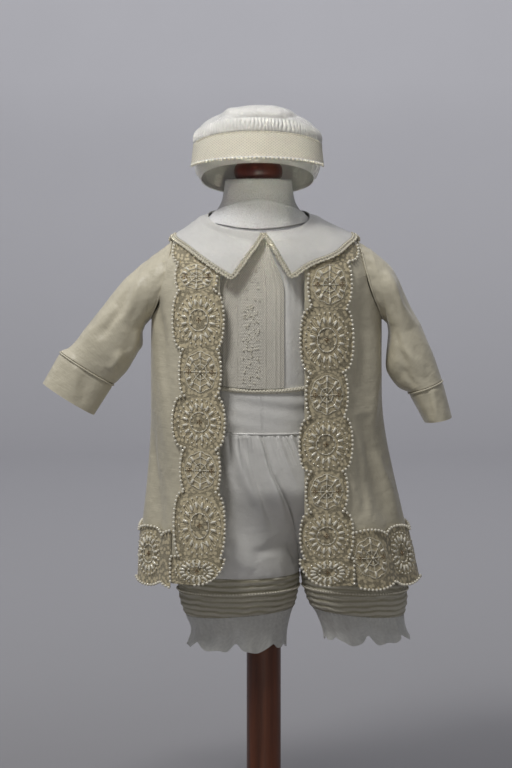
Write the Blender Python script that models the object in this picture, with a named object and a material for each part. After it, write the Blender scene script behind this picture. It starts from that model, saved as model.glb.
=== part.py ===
"""A baby's christening suit on a dress form: open coat with beaded lace, one-piece and cap.

Sizes are in millimetres. The origin is the middle of the base's underside, -Y is the front and
-X is the left side as seen from the front.
"""

import math

import bpy
from mathutils import Matrix, Vector

MM = 0.001
SEAM_GAP = 0.35
SATIN_WALL = 1.3
SILK_WALL = 1.4
LACE_WALL = 1.2
ORGANZA_WALL = 1.0

# Stand and dress form.
BASE_RADIUS, BASE_HEIGHT, BASE_EDGE = 125.0, 24.0, 6.0
POLE_RADIUS, POLE_X = 19.0, 2.0
SOCKET_RADIUS, SOCKET_HEIGHT = 30.0, 16.0
FORM_BOTTOM, FORM_TOP = 378.0, 722.0
NECK_X, NECK_Y = -4.0, 1.0
KNOB_RADIUS, KNOB_HEIGHT = 26.5, 18.0
FINIAL_STEM, FINIAL_RADIUS, FINIAL_TOP = 8.0, 17.0, 796.0

# The coat.
COAT_HEM, COAT_FOLD_TOP = 294.0, 520.0
COAT_EDGE_LEFT, COAT_EDGE_RIGHT = -45.0, 45.0
HEM_CORNER = 34.0
ARMHOLE_HEIGHT, ARMHOLE_RISE, ARMHOLE_DEPTH = 612.0, 42.0, 38.0
NECK_LOW, NECK_HIGH = 664.0, 688.0
COAT_BELOW_NECK = 9.0
SEAM_ANGLE = 0.3
ARMHOLE_CLEAR = SEAM_GAP + 0.55
FRONT_COLUMNS, BACK_COLUMNS = 9, 18
COAT_ROWS = (0, 0.13, 0.32, 0.52, 0.7, 0.74, 0.8, 0.87, 0.93, 0.965, 1)
HEM_LACE_TOP, HEM_LACE_LOW, HEM_SCALLOP, SCALLOPS_PER_DEGREE = 346.0, 288.0, 6.0, 6.5
LACE_CLEAR, LACE_INNER, LACE_CORNER, CORNER_SEAM = 0.9, 39.0, 97.0, 0.5

# The one-piece.
WAIST_SEAM, BODICE_SEAM = 449.0, 494.0
BODICE_BELOW_NECK = 4.0
BODICE_ROWS = (0, 0.2, 0.4, 0.5, 0.62, 0.75, 0.84, 0.9, 0.95, 1)
PLASTRON_LEFT, PLASTRON_RIGHT, PLASTRON_TOP, PLASTRON_MIDDLE = -44.0, 23.0, 655.0, -8.0
PLASTRON_ABOVE_SEAM, BRAID_BELOW_SEAM, BRAID_WIDTH = 4.0, 1.2, 4.4
LEG_BAND_LOW, LEG_BAND_TOP = 243.0, 291.0
CROTCH_LOW, CROTCH_TOP = 312.0, 372.0
FRILL_HEM = 208.0
BAND_RISE, INSEAM_SLIT = 9.0, 0.002
GATHER_MIDDLE, GATHER_REACH, GATHER_DEPTH = 400.0, 60.0, 1.6
COLLAR_LIFT, COLLAR_EDGING, COLLAR_AT_NECK = 4.2, 6.0, 0.4

# The cap.
CAP_X, CAP_Y, CAP_HEIGHT, CAP_TILT = -5.0, 4.0, 731.0, 14.0
BRIM_HALF_ANGLE, BRIM_FORWARD, BRIM_DROP = 72.0, 19.0, 28.0
BRIM_SEAM_HEIGHT, GATHER_HEIGHT, GATHER_GAP = 24.0, 13.0, 0.95
BRIM_CLEAR, BRIM_PIPING = 0.7, 3.2

# height, half width, front depth, back depth, shift to the right
FORM_SECTIONS = (
    (378, 70, 54, 55, 0),
    (388, 77, 60, 61, 0),
    (410, 78, 63, 63, 0),
    (460, 75, 63, 61, -1),
    (515, 79, 64, 60, -2),
    (570, 88, 64, 60, -2),
    (612, 97, 61, 57, -3),
    (638, 92.6, 54.2, 51.6, -3),
    (654, 84.2, 48.6, 47.6, -4),
    (664, 71.6, 44.8, 45.8, -4),
    (675, 59.6, 42.4, 44.8, -4),
    (686, 48, 39.2, 42.2, -4),
    (696, 41, 37.2, 39.6, -4),
    (708, 38, 36, 38, -4),
    (722, 36.5, 35, 37, -4),
)

# height, left, right, front, back, squareness
COAT_SECTIONS = (
    (286, 133, 168, 92, 98, 2.3),
    (340, 130, 156, 90, 94, 2.3),
    (400, 125, 143, 87, 88, 2.3),
    (460, 122, 133, 84, 82, 2.3),
    (515, 122, 131, 82, 78, 2.3),
    (570, 121, 131, 79, 74, 2.3),
    (612, 117, 127, 75, 70, 2.25),
    (638, 109, 117, 68, 63, 2.15),
    (654, 98, 104, 59, 57, 2.0),
    (664, 85, 87, 53, 54, 2.0),
    (675, 70, 65, 48.5, 51, 2.0),
    (686, 57.5, 50, 44.5, 47.5, 2.0),
    (696, 50, 42, 42, 45, 2.0),
)

# place in degrees from the front, width in degrees, depth at the hem
COAT_FOLDS = (
    (62, 9, -5.0),
    (84, 8, 4.0),
    (118, 11, -7.0),
    (146, 10, 6.0),
    (172, 12, -7.0),
    (200, 10, 6.0),
    (232, 12, -6.0),
    (278, 9, 3.0),
    (298, 9, -4.0),
)

# outer x, outer height, inner x, inner height, y, half depth, from the armhole down to the cuff seam
SLEEVE_LEFT = (
    (-111, 645, -128, 563, -1, 36),
    (-141, 622, -133, 548, -2, 33),
    (-169, 591, -137, 535, -4, 30),
    (-191, 562, -147, 514, -6, 27),
    (-208, 541, -156, 504, -8, 24),
    (-220, 535, -162, 499, -9, 22),
)
SLEEVE_RIGHT = (
    (119, 646, 138, 564, -1, 36),
    (143, 624, 139, 547, -2, 34),
    (161, 594, 137, 529, -3, 32),
    (175, 560, 137, 512, -5, 32),
    (188, 529, 148, 496, -7, 32),
    (197, 504, 160, 490, -8, 32),
)
CUFF_LEFT = ((-220.5, 534.2, -162.5, 498.2, -9, 22), (-240, 500, -184, 465, -11, 21))
CUFF_RIGHT = ((197.3, 503.2, 160.4, 489.2, -8, 32), (208, 463, 178, 457, -10, 32))

# top, bottom, middle, half width of each lobe of a front lace
LACE_LOBES_LEFT = (
    (652, 632, -74, 20),
    (631, 602, -69, 22),
    (600, 542, -67, 27),
    (541, 491, -65, 22),
    (489, 436, -66, 27),
    (434, 388, -65, 21),
    (386, 318, -66, 27),
)
LACE_LOBES_RIGHT = (
    (652, 634, 75, 22),
    (633, 585, 70, 23),
    (582, 518, 68, 28),
    (515, 468, 68, 22),
    (466, 412, 67, 28),
    (410, 368, 68, 22),
    (366, 318, 68, 28),
)

# height, left, right, front, back, squareness
BODICE_SECTIONS = (
    (449, 80, 84, 73, 69, 2.1),
    (494, 82, 84, 73, 69, 2.1),
    (540, 89, 88, 72, 66, 2.1),
    (570, 96, 94, 70, 64, 2.05),
    (612, 105, 99, 65, 61, 2.0),
    (638, 102, 96, 59.4, 56.4, 2.0),
    (654, 93, 85, 52.6, 52, 2.0),
    (664, 79.8, 71.8, 48.8, 49.8, 2.0),
    (675, 67, 59, 46, 48.5, 2.0),
    (686, 55, 47, 42.5, 45.5, 2.0),
    (692, 51, 43, 41.5, 44, 2.0),
)
BODICE_ARMHOLE_RISE, BODICE_ARMHOLE_DEPTH = 36.0, 34.0

# height, inner x, outer x, front depth, back depth
LEG_LEFT = (
    (205, 24, -76, 41, 42),
    (225, 26, -74, 40, 42),
    (243, 31, -84, 46, 47),
    (260, 37, -90, 54, 53),
    (291, 41, -93, 62, 58),
    (330, 37, -94, 70, 64),
    (372, 27, -92, 76, 68),
    (410, 10, -88, 77, 69),
    (449, -2, -80, 73, 69),
)
LEG_RIGHT = (
    (205, 72, 162, 38, 42),
    (225, 69, 156, 38, 42),
    (243, 61, 157, 44, 47),
    (260, 51, 160, 50, 53),
    (291, 43, 157, 57, 58),
    (330, 37.6, 147, 65, 64),
    (372, 27.6, 128, 71, 68),
    (410, 10.6, 106, 75, 69),
    (449, -1.4, 84, 73, 69),
)

# neck angle, outer angle, outer height of the collar's ribs, front to back
COLLAR_LEFT = (
    (2, 15.5, 619),
    (12, 25, 629),
    (25, 38, 641),
    (42, 54, 651),
    (60, 72, 657),
    (80, 88, 660),
    (108, 108, 654),
    (142, 142, 648),
    (176, 175, 646),
)
COLLAR_RIGHT = ((2, 10.5, 620), (12, 21, 632)) + COLLAR_LEFT[2:]

# height above the cap's seat, half width, front depth, back depth
CROWN_SECTIONS = (
    (-9, 62, 65, 66),
    (4, 68, 70, 72),
    (22, 71, 72, 76),
    (38, 68, 71, 75),
    (50, 58, 62, 68),
    (59, 42, 46, 52),
    (65, 21, 24, 28),
    (66, 8, 9, 10),
)

COLOURS = {
    "satin": ((0.80, 0.79, 0.74), 0.38),
    "silk": ((0.70, 0.64, 0.50), 0.50),
    "lace": ((0.62, 0.55, 0.40), 0.70),
    "organza": ((0.80, 0.80, 0.77), 0.45),
    "jersey": ((0.60, 0.59, 0.60), 0.90),
    "wood": ((0.22, 0.08, 0.04), 0.45),
    "pole wood": ((0.30, 0.12, 0.05), 0.50),
}


def material(finish):
    """The Principled material of that finish, made once."""
    if finish in bpy.data.materials:
        return bpy.data.materials[finish]
    made = bpy.data.materials.new(finish)
    made.use_nodes = True
    shader = made.node_tree.nodes["Principled BSDF"]
    colour, roughness = COLOURS[finish]
    shader.inputs["Base Color"].default_value = (*colour, 1)
    shader.inputs["Roughness"].default_value = roughness
    shader.inputs["Metallic"].default_value = 0.0
    made.diffuse_color = (*colour, 1)
    return made


def add_object(name, points, faces, finish):
    mesh = bpy.data.meshes.new(name)
    mesh.from_pydata([point * MM for point in points], [], faces)
    mesh.materials.append(material(finish))
    mesh.shade_smooth()
    obj = bpy.data.objects.new(name, mesh)
    bpy.context.scene.collection.objects.link(obj)
    return obj


def steps(count):
    return [k / count for k in range(count + 1)]


def smooth(t):
    t = min(max(t, 0.0), 1.0)
    return t * t * (3 - 2 * t)


def at(table, place):
    """The row of a table at this place of its first column, along smooth curves through its rows."""
    rows = sorted(table)
    if place <= rows[0][0]:
        return rows[0][1:]
    if place >= rows[-1][0]:
        return rows[-1][1:]
    k = max(i for i in range(len(rows) - 1) if rows[i][0] <= place)
    low, high = rows[k], rows[k + 1]
    before, after = rows[max(k - 1, 0)], rows[min(k + 2, len(rows) - 1)]
    span = high[0] - low[0]
    t = (place - low[0]) / span
    found = []
    for column in range(1, len(low)):
        start = (high[column] - before[column]) / (high[0] - before[0]) * span
        end = (after[column] - low[column]) / (after[0] - low[0]) * span
        found.append(
            low[column] * (2 * t**3 - 3 * t**2 + 1)
            + start * (t**3 - 2 * t**2 + t)
            + high[column] * (3 * t**2 - 2 * t**3)
            + end * (t**3 - t**2)
        )
    return found


def signed_power(value, power):
    return math.copysign(abs(value) ** power, value)


def ring_point(section, angle, height):
    """A point of a rounded section. The angle is in degrees: 0 in front, 90 on the right."""
    left, right, front, back, square = section
    turn = math.radians(angle)
    depth = front if math.cos(turn) > 0 else back
    x = (right - left) / 2 + (right + left) / 2 * signed_power(math.sin(turn), 2 / square)
    return Vector((x, -depth * signed_power(math.cos(turn), 2 / square), height))


def angle_at_x(table, height, x):
    """The angle, on the front half, at which a section passes this x."""
    left, right, _, _, square = at(table, height)
    reach = min(max((x - (right - left) / 2) / ((right + left) / 2), -1.0), 1.0)
    return math.degrees(math.asin(signed_power(reach, square / 2)))


def angle_at_depth(table, height, depth, behind):
    """The angle from the front, under or over 90, at which a section is this deep."""
    _, _, front, back, square = at(table, height)
    away = math.degrees(math.acos(min(depth / (back if behind else front), 1.0) ** (square / 2)))
    return 180 - away if behind else away


def lifted(surface, distance):
    """The surface moved out along its own normal."""
    nudge = 0.5

    def moved(angle, height):
        across = surface(angle + nudge, height) - surface(angle - nudge, height)
        up = surface(angle, height + nudge) - surface(angle, height - nudge)
        return surface(angle, height) + across.cross(up).normalized() * distance

    return moved


def cloth(name, place, us, vs, wall, finish, closed=False, crown=None, flip=False):
    """A wall of cloth whose outer face runs through place(u, v), and whose thickness goes inwards."""
    columns = len(us) - 1 if closed else len(us)
    points = [place(u, v) for v in vs for u in us[:columns]]
    faces = []
    for row in range(len(vs) - 1):
        for column in range(len(us) - 1):
            here, beside = row * columns + column, row * columns + (column + 1) % columns
            faces.append((here, beside, beside + columns, here + columns))
    if crown:
        points.append(crown)
        last = (len(vs) - 1) * columns
        faces += [(last + k, last + (k + 1) % columns, len(points) - 1) for k in range(columns)]
    if flip:
        faces = [face[::-1] for face in faces]
    obj = add_object(name, points, faces, finish)
    thickness = obj.modifiers.new("Wall", "SOLIDIFY")
    thickness.thickness = wall * MM
    thickness.offset = -1
    thickness.show_render = thickness.show_viewport
    return obj


def turned(name, profile, x, y, finish, sides=40):
    """A turned solid round a vertical axis. The profile is radius and height, from the bottom up."""
    points, faces = [], []
    for radius, height in profile:
        for k in range(sides):
            turn = 2 * math.pi * k / sides
            points.append(Vector((x + radius * math.sin(turn), y - radius * math.cos(turn), height)))
    for row in range(len(profile) - 1):
        for k in range(sides):
            here, beside = row * sides + k, row * sides + (k + 1) % sides
            faces.append((here, beside, beside + sides, here + sides))
    faces.append(tuple(range(sides))[::-1])
    faces.append(tuple(range(len(points) - sides, len(points))))
    obj = add_object(name, points, faces, finish)
    obj.data.set_sharp_from_angle(angle=math.radians(40))
    return obj


# ---------------------------------------------------------------- stand and dress form


def make_stand():
    lip = BASE_RADIUS - BASE_EDGE
    base = [
        (BASE_RADIUS - 2, 0),
        (BASE_RADIUS, 3),
        (BASE_RADIUS, BASE_HEIGHT - BASE_EDGE),
        (BASE_RADIUS - 2, BASE_HEIGHT - 2),
        (lip, BASE_HEIGHT),
    ]
    turned("stand_base", base, 0, 0, "wood", 56)
    bottom = BASE_HEIGHT + SEAM_GAP
    socket = [
        (SOCKET_RADIUS, bottom),
        (SOCKET_RADIUS, bottom + 5),
        (POLE_RADIUS + 4, bottom + SOCKET_HEIGHT - 3),
        (POLE_RADIUS, bottom + SOCKET_HEIGHT),
        (POLE_RADIUS, FORM_BOTTOM - SEAM_GAP),
    ]
    turned("stand_pole", socket, POLE_X, 0, "pole wood", 32)


def form_surface(angle, height):
    half, front, back, shift = at(FORM_SECTIONS, height)
    return ring_point((half - shift, half + shift, front, back, 2.0), angle, height)


def make_form():
    heights = (378, 382, 388, 410, 460, 515, 570, 600, 625, 645, 656, 664, 670, 678, 686, 696, 708, 722)
    sides = 32
    points = [form_surface(360 * k / sides, height) for height in heights for k in range(sides)]
    faces = []
    for row in range(len(heights) - 1):
        for k in range(sides):
            here, beside = row * sides + k, row * sides + (k + 1) % sides
            faces.append((here, beside, beside + sides, here + sides))
    faces.append(tuple(range(sides))[::-1])
    faces.append(tuple(range(len(points) - sides, len(points))))
    add_object("form_torso", points, faces, "jersey")


def make_knob():
    low = FORM_TOP + SEAM_GAP
    middle = FINIAL_TOP - FINIAL_RADIUS
    profile = [
        (KNOB_RADIUS - 3, low),
        (KNOB_RADIUS, low + 5),
        (KNOB_RADIUS, low + KNOB_HEIGHT - 6),
        (KNOB_RADIUS - 4, low + KNOB_HEIGHT - 1),
        (FINIAL_STEM, low + KNOB_HEIGHT),
        (FINIAL_STEM, middle - FINIAL_RADIUS),
    ]
    for turn in (-50, -25, 0, 25, 50, 72):
        across = FINIAL_RADIUS * math.cos(math.radians(turn))
        profile.append((across, middle + FINIAL_RADIUS * math.sin(math.radians(turn))))
    profile.append((1.5, FINIAL_TOP))
    turned("neck_knob", profile, NECK_X, NECK_Y, "wood", 28)


# ---------------------------------------------------------------- coat


def coat_surface(angle, height):
    point = ring_point(at(COAT_SECTIONS, height), angle, height)
    deepening = smooth((COAT_FOLD_TOP - height) / (COAT_FOLD_TOP - COAT_HEM))
    push = 0.0
    for place, width, depth in COAT_FOLDS:
        away = (angle - place + 180) % 360 - 180
        push += depth * deepening * math.exp(-((away / width) ** 2))
    return point + Vector((point.x, point.y, 0)).normalized() * push


def neck_height(angle):
    return NECK_HIGH - (NECK_HIGH - NECK_LOW) * ((1 + math.cos(math.radians(angle))) / 2) ** 3


def armhole_depth(height, rise, depth):
    """Half the armhole's opening, front to back, at this height."""
    away = abs(height - ARMHOLE_HEIGHT) / rise
    return depth * math.sqrt(1 - away * away) if away < 1 else 0.0


def seam_angle(table, height, rise, depth, behind):
    """Where a body panel ends at its side: on the side seam, or on the armhole."""
    edge = angle_at_depth(table, height, armhole_depth(height, rise, depth), behind)
    return max(edge, 90 + SEAM_ANGLE) if behind else min(edge, 90 - SEAM_ANGLE)


def corner_rise(distance):
    """How far a rounded hem corner rises at this distance from the front edge."""
    if distance >= HEM_CORNER:
        return 0.0
    return HEM_CORNER - math.sqrt(HEM_CORNER**2 - (HEM_CORNER - max(distance, 0.0)) ** 2)


def front_angle(side, u, height):
    """The angle at share u of a front panel, from its open edge to its side seam or armhole."""
    edge = COAT_EDGE_RIGHT if side > 0 else COAT_EDGE_LEFT
    side_angle = seam_angle(COAT_SECTIONS, height, ARMHOLE_RISE, ARMHOLE_DEPTH, False)
    shoulder = smooth((height - 640) / 30)
    edge_angle = abs(angle_at_x(COAT_SECTIONS, height, edge)) * (1 - shoulder) + 42 * shoulder
    return edge_angle + (side_angle - edge_angle) * u


def make_coat_front(name, side):
    def place(u, v):
        top = neck_height(40 + 50 * u) - COAT_BELOW_NECK
        low = COAT_HEM + corner_rise(u * 90)
        height = low + (top - low) * v
        return coat_surface(side * front_angle(side, u, height), height)

    cloth(name, place, steps(FRONT_COLUMNS), COAT_ROWS, SILK_WALL, "silk", flip=side < 0)


def make_coat_back():
    def place(u, v):
        half = 2 * u - 1
        top = neck_height(180 - 90 * abs(half)) - COAT_BELOW_NECK
        height = COAT_HEM + (top - COAT_HEM) * v
        side_angle = seam_angle(COAT_SECTIONS, height, ARMHOLE_RISE, ARMHOLE_DEPTH, True)
        return coat_surface(180 + (180 - side_angle) * half, height)

    cloth("coat_back", place, steps(BACK_COLUMNS), COAT_ROWS, SILK_WALL, "silk")


def armhole_point(side, angle):
    """The body's surface round the armhole: angle 0 at the top, 90 in front."""
    turn = math.radians(angle)
    height = ARMHOLE_HEIGHT + ARMHOLE_RISE * math.cos(turn)
    depth = -ARMHOLE_DEPTH * math.sin(turn)
    left, right, front, back, square = at(COAT_SECTIONS, height)
    share = abs(depth) / (front if depth < 0 else back)
    reach = (right + left) / 2 * (1 - share**square) ** (1 / square)
    return Vector(((right - left) / 2 + side * (reach + ARMHOLE_CLEAR), depth, height))


def sleeve_point(rows, angle, along):
    """A sleeve's section is an oval between its outer and inner outline points."""
    table = [(k, *row) for k, row in enumerate(rows)]
    outer_x, outer_z, inner_x, inner_z, y, deep = at(table, along)
    turn = math.radians(angle)
    middle = Vector(((outer_x + inner_x) / 2, y, (outer_z + inner_z) / 2))
    half = Vector(((outer_x - inner_x) / 2, 0, (outer_z - inner_z) / 2))
    return middle + half * math.cos(turn) - Vector((0, deep * math.sin(turn), 0))


def make_sleeve(name, cuff_name, side, rows, cuff_rows):
    def place(u, v):
        along = v * len(rows)
        if along < 1:
            start = armhole_point(side, 360 * u)
            return start + (sleeve_point(rows, 360 * u, 0) - start) * along
        return sleeve_point(rows, 360 * u, along - 1)

    def cuff_place(u, v):
        return sleeve_point(cuff_rows, 360 * u, v)

    cloth(name, place, steps(18), steps(len(rows)), SILK_WALL, "silk", closed=True, flip=side < 0)
    cloth(cuff_name, cuff_place, steps(18), steps(1), SILK_WALL, "silk", closed=True, flip=side < 0)


def lace_outline(lobes, height):
    """Left and right x of a scalloped front lace at this height."""
    for top, bottom, middle, half in lobes:
        if bottom - 1 <= height <= top + 2:
            place = min(abs(2 * (height - bottom) / (top - bottom) - 1), 1.0)
            reach = half * (0.82 + 0.18 * math.sqrt(1 - place * place))
            return middle - reach, middle + reach
    side = math.copysign(1, lobes[-1][2])
    inner = side * (LACE_INNER + corner_rise(height - HEM_LACE_LOW))
    return tuple(sorted((inner, side * LACE_CORNER)))


def make_front_lace(name, lobes):
    surface = lifted(coat_surface, LACE_CLEAR + LACE_WALL)
    heights = [HEM_LACE_LOW + rise for rise in (0, 2, 8, 18)]
    for top, bottom, _, _ in reversed(lobes):
        heights += [bottom + (top - bottom) * part for part in (0, 0.16, 0.5, 0.84)]
    heights.append(lobes[0][0])

    def place(u, v):
        left, right = lace_outline(lobes, v)
        x = left + (right - left) * u
        return surface(angle_at_x(COAT_SECTIONS, v, x), v)

    cloth(name, place, steps(3), heights, LACE_WALL, "lace")


def hem_lace_low(angle):
    return HEM_LACE_LOW - HEM_SCALLOP * abs(math.sin(math.radians(angle * SCALLOPS_PER_DEGREE)))


def make_hem_lace():
    """The lace along the hem, made from the coat's own columns, moved out."""
    surface = lifted(coat_surface, LACE_CLEAR + LACE_WALL)
    start = 0.5

    def back(u, v):
        angle = 180 + (90 - SEAM_ANGLE) * (2 * u - 1)
        low = hem_lace_low(angle)
        return surface(angle, low + (HEM_LACE_TOP - low) * v)

    cloth("coat_lace_hem_back", back, steps(BACK_COLUMNS), steps(3), LACE_WALL, "lace")
    for tag, side in (("left", -1), ("right", 1)):

        def front(u, v, side=side):
            edge = abs(angle_at_x(COAT_SECTIONS, COAT_HEM, side * (LACE_CORNER + CORNER_SEAM)))
            angle = front_angle(side, u, COAT_HEM)
            if u == start:
                angle = edge
            low = hem_lace_low(angle)
            height = low + (HEM_LACE_TOP - low) * v
            if u == start:
                angle = abs(angle_at_x(COAT_SECTIONS, height, side * (LACE_CORNER + CORNER_SEAM)))
            return surface(side * angle, height)

        edge = abs(angle_at_x(COAT_SECTIONS, COAT_HEM, side * (LACE_CORNER + CORNER_SEAM)))
        us = [start] + [u for u in steps(FRONT_COLUMNS) if front_angle(side, u, COAT_HEM) > edge + 2]
        cloth(f"coat_lace_hem_{tag}", front, us, steps(3), LACE_WALL, "lace", flip=side < 0)


# ---------------------------------------------------------------- one-piece


def bodice_surface(angle, height):
    return ring_point(at(BODICE_SECTIONS, height), angle, height)


def seam_height(angle):
    """The seam between bodice and waistband dips at the front."""
    return BODICE_SEAM + 20 * math.sin(math.radians(angle) / 2) ** 2 * 2


def make_waistband():
    def place(u, v):
        angle = 360 * u
        low = WAIST_SEAM + SEAM_GAP
        return bodice_surface(angle, low + (seam_height(angle) - SEAM_GAP - low) * v)

    cloth("waistband", place, steps(32), steps(1), SATIN_WALL, "satin", closed=True)


def make_bodice(name, behind):
    middle = 180 if behind else 0

    def place(u, v):
        half = 2 * u - 1
        away = abs(half) * 90
        low = seam_height(middle + away)
        top = neck_height(middle + away) - BODICE_BELOW_NECK
        height = low + (top - low) * v
        reach = seam_angle(BODICE_SECTIONS, height, BODICE_ARMHOLE_RISE, BODICE_ARMHOLE_DEPTH, behind)
        reach = 180 - reach if behind else reach
        return bodice_surface(middle + reach * half, height)

    cloth(name, place, steps(12), BODICE_ROWS, SATIN_WALL, "satin")


def make_plastron():
    surface = lifted(bodice_surface, LACE_CLEAR + LACE_WALL)

    def place(u, v):
        across = PLASTRON_LEFT + (PLASTRON_RIGHT - PLASTRON_LEFT) * u
        low = seam_height(angle_at_x(BODICE_SECTIONS, BODICE_SEAM, across))
        low += PLASTRON_ABOVE_SEAM
        height = low + (PLASTRON_TOP - low) * v
        narrowing = 1 - 0.55 * smooth((height - 600) / 60)
        x = PLASTRON_MIDDLE + (across - PLASTRON_MIDDLE) * narrowing
        return surface(angle_at_x(BODICE_SECTIONS, height, x), height)

    def braid(u, v):
        angle = -50 + 104 * u
        return surface(angle, seam_height(angle) - BRAID_BELOW_SEAM + BRAID_WIDTH * v)

    cloth("plastron", place, steps(5), steps(8), LACE_WALL, "lace")
    cloth("plastron_braid", braid, steps(16), steps(1), LACE_WALL, "lace")


def leg_point(rows, u, height):
    """A half of the knickers: from the middle front round the side to the middle back above the
    crotch, and once round the leg, from the inseam, below it."""
    inner, outer, front, back = at(rows, height)
    low = 1 - smooth((height - CROTCH_LOW) / (CROTCH_TOP - CROTCH_LOW))
    half_turn, full_turn = math.pi * u, 2 * math.pi * u
    depth = front if u < 0.5 else back
    upper = Vector((inner + (outer - inner) * math.sin(half_turn) ** 0.9, -depth * math.cos(half_turn), 0))
    lower = Vector(
        ((inner + outer) / 2 - (outer - inner) / 2 * math.cos(full_turn), -depth * math.sin(full_turn), 0)
    )
    point = upper.lerp(lower, low)
    point.z = height
    gathers = math.sin(math.pi * u) * max(1 - abs(height - GATHER_MIDDLE) / GATHER_REACH, 0.0)
    middle = Vector(((inner + outer) / 2, 0, height))
    away = (point - middle).normalized()
    return point + away * GATHER_DEPTH * gathers * math.sin(9 * math.pi * u)


def band_low(u):
    """The lower edge of a leg's lace band, which rises towards the inside of the leg."""
    return LEG_BAND_LOW + BAND_RISE * math.cos(math.pi * u) ** 2


def make_leg(side, tag, rows):
    us = [INSEAM_SLIT + (1 - 2 * INSEAM_SLIT) * u for u in steps(20)]

    def satin(u, v):
        low = LEG_BAND_TOP + SEAM_GAP
        return leg_point(rows, u, low + (WAIST_SEAM - low) * v)

    def band(u, v):
        low = band_low(u)
        return leg_point(rows, u, low + (LEG_BAND_TOP - low) * v)

    def frill(u, v):
        top = band_low(u) - SEAM_GAP
        hem = FRILL_HEM + 3 * math.sin(6 * math.pi * u)
        height = hem + (top - hem) * v
        point = leg_point(rows, u, height)
        inner, outer, _, _ = at(rows, height)
        away = point - Vector(((inner + outer) / 2, 0, height))
        outside = max(0.0, -math.cos(2 * math.pi * u))
        flare = (1 - v) * (1.0 + 5 * outside + 1.5 * math.sin(10 * math.pi * u) * outside)
        return point + away.normalized() * flare

    flip = side < 0
    satin_rows = (0, 0.13, 0.23, 0.33, 0.43, 0.53, 0.7, 0.88, 1)
    cloth(f"knickers_{tag}", satin, us, satin_rows, SATIN_WALL, "satin", flip=flip)
    cloth(f"leg_lace_{tag}", band, us, steps(2), LACE_WALL, "lace", flip=flip)
    cloth(f"leg_frill_{tag}", frill, us, steps(2), ORGANZA_WALL, "organza", flip=flip)


def collar_rib(ribs, u):
    """Neck angle, outer angle and outer height of the collar at this share of its way round."""
    table = [(k / (len(ribs) - 1), *rib) for k, rib in enumerate(ribs)]
    return at(table, u)


def collar_place(side, ribs, u, v):
    neck_angle, outer_angle, outer_height = collar_rib(ribs, u)
    start = neck_height(neck_angle) + 1
    angle = neck_angle + (outer_angle - neck_angle) * v
    height = start + (outer_height - start) * v
    lift = COLLAR_AT_NECK + (COLLAR_LIFT - COLLAR_AT_NECK) * smooth(v / 0.3)
    return lifted(coat_surface, lift)(side * angle, height)


def make_collar(side, tag, ribs):
    us = steps(14)
    rows = (0, 0.3, 0.65, 1)

    def place(u, v):
        return collar_place(side, ribs, u, v)

    cloth(f"collar_{tag}", place, us, rows, SATIN_WALL, "satin", flip=side > 0)

    nudge = 0.004
    path = [(0, v) for v in (0.24, 0.5, 0.75)] + [(0, 1)] + [(u, 1) for u in us[1:]]

    def edging(u, v):
        along = u * (len(path) - 1)
        spot = path[min(int(along + 0.5), len(path) - 1)]
        here = collar_place(side, ribs, *spot)
        front = here - collar_place(side, ribs, spot[0] + nudge, spot[1])
        down = here - collar_place(side, ribs, spot[0], spot[1] - nudge)
        away = Vector((0, 0, 0))
        if spot[0] == 0:
            away += front.normalized()
        if spot[1] == 1:
            away += down.normalized()
        if spot == (0, 1):
            away *= 0.8
        return here + away * (SEAM_GAP + COLLAR_EDGING * v)

    cloth(f"collar_lace_{tag}", edging, steps(len(path) - 1), steps(1), LACE_WALL, "lace", flip=side > 0)


# ---------------------------------------------------------------- cap


def cap_frame():
    seat = Matrix.Translation(Vector((CAP_X, CAP_Y, CAP_HEIGHT)))
    return seat @ Matrix.Rotation(math.radians(-CAP_TILT), 4, "X")


def crown_surface(angle, height):
    half, front, back = at(CROWN_SECTIONS, height)
    return cap_frame() @ ring_point((half, half, front, back, 2.1), angle, height)


def make_cap():
    heights = (-9, 6, 24, 38, 49, 58, 64)
    top = cap_frame() @ Vector((0, 2, 66.2))

    def crown(u, v):
        return crown_surface(360 * u, v)

    cloth("cap_crown", crown, steps(28), heights, SATIN_WALL, "satin", closed=True, crown=top)

    bed = lifted(crown_surface, BRIM_CLEAR + SATIN_WALL)

    def gathers(u, v):
        angle = -BRIM_HALF_ANGLE + 2 * BRIM_HALF_ANGLE * u
        return bed(angle, BRIM_SEAM_HEIGHT + GATHER_GAP + GATHER_HEIGHT * v)

    def brim(u, v):
        share = 2 * u - 1
        start = bed(share * BRIM_HALF_ANGLE, BRIM_SEAM_HEIGHT - 0.5)
        turn = math.radians(share * BRIM_HALF_ANGLE)
        reach = 1 - 0.9 * abs(share) ** 2.5
        forward = Vector((math.sin(turn), -math.cos(turn), 0)) * BRIM_FORWARD * reach
        drop = Vector((0, 0, -BRIM_DROP * (1 - 0.12 * abs(share) ** 3)))
        return start + forward * v**0.8 + drop * v

    def edge(u, v):
        step = 0.02
        low = brim(u, 1)
        away = (low - brim(u, 1 - step)).normalized()
        return low + away * (SEAM_GAP + BRIM_PIPING * v)

    cloth("cap_gathers", gathers, steps(18), steps(1), SATIN_WALL, "satin")
    cloth("cap_brim", brim, steps(18), (1, 0.5, 0), LACE_WALL, "lace")
    cloth("cap_brim_edge", edge, steps(18), (1, 0), LACE_WALL, "satin")


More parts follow.
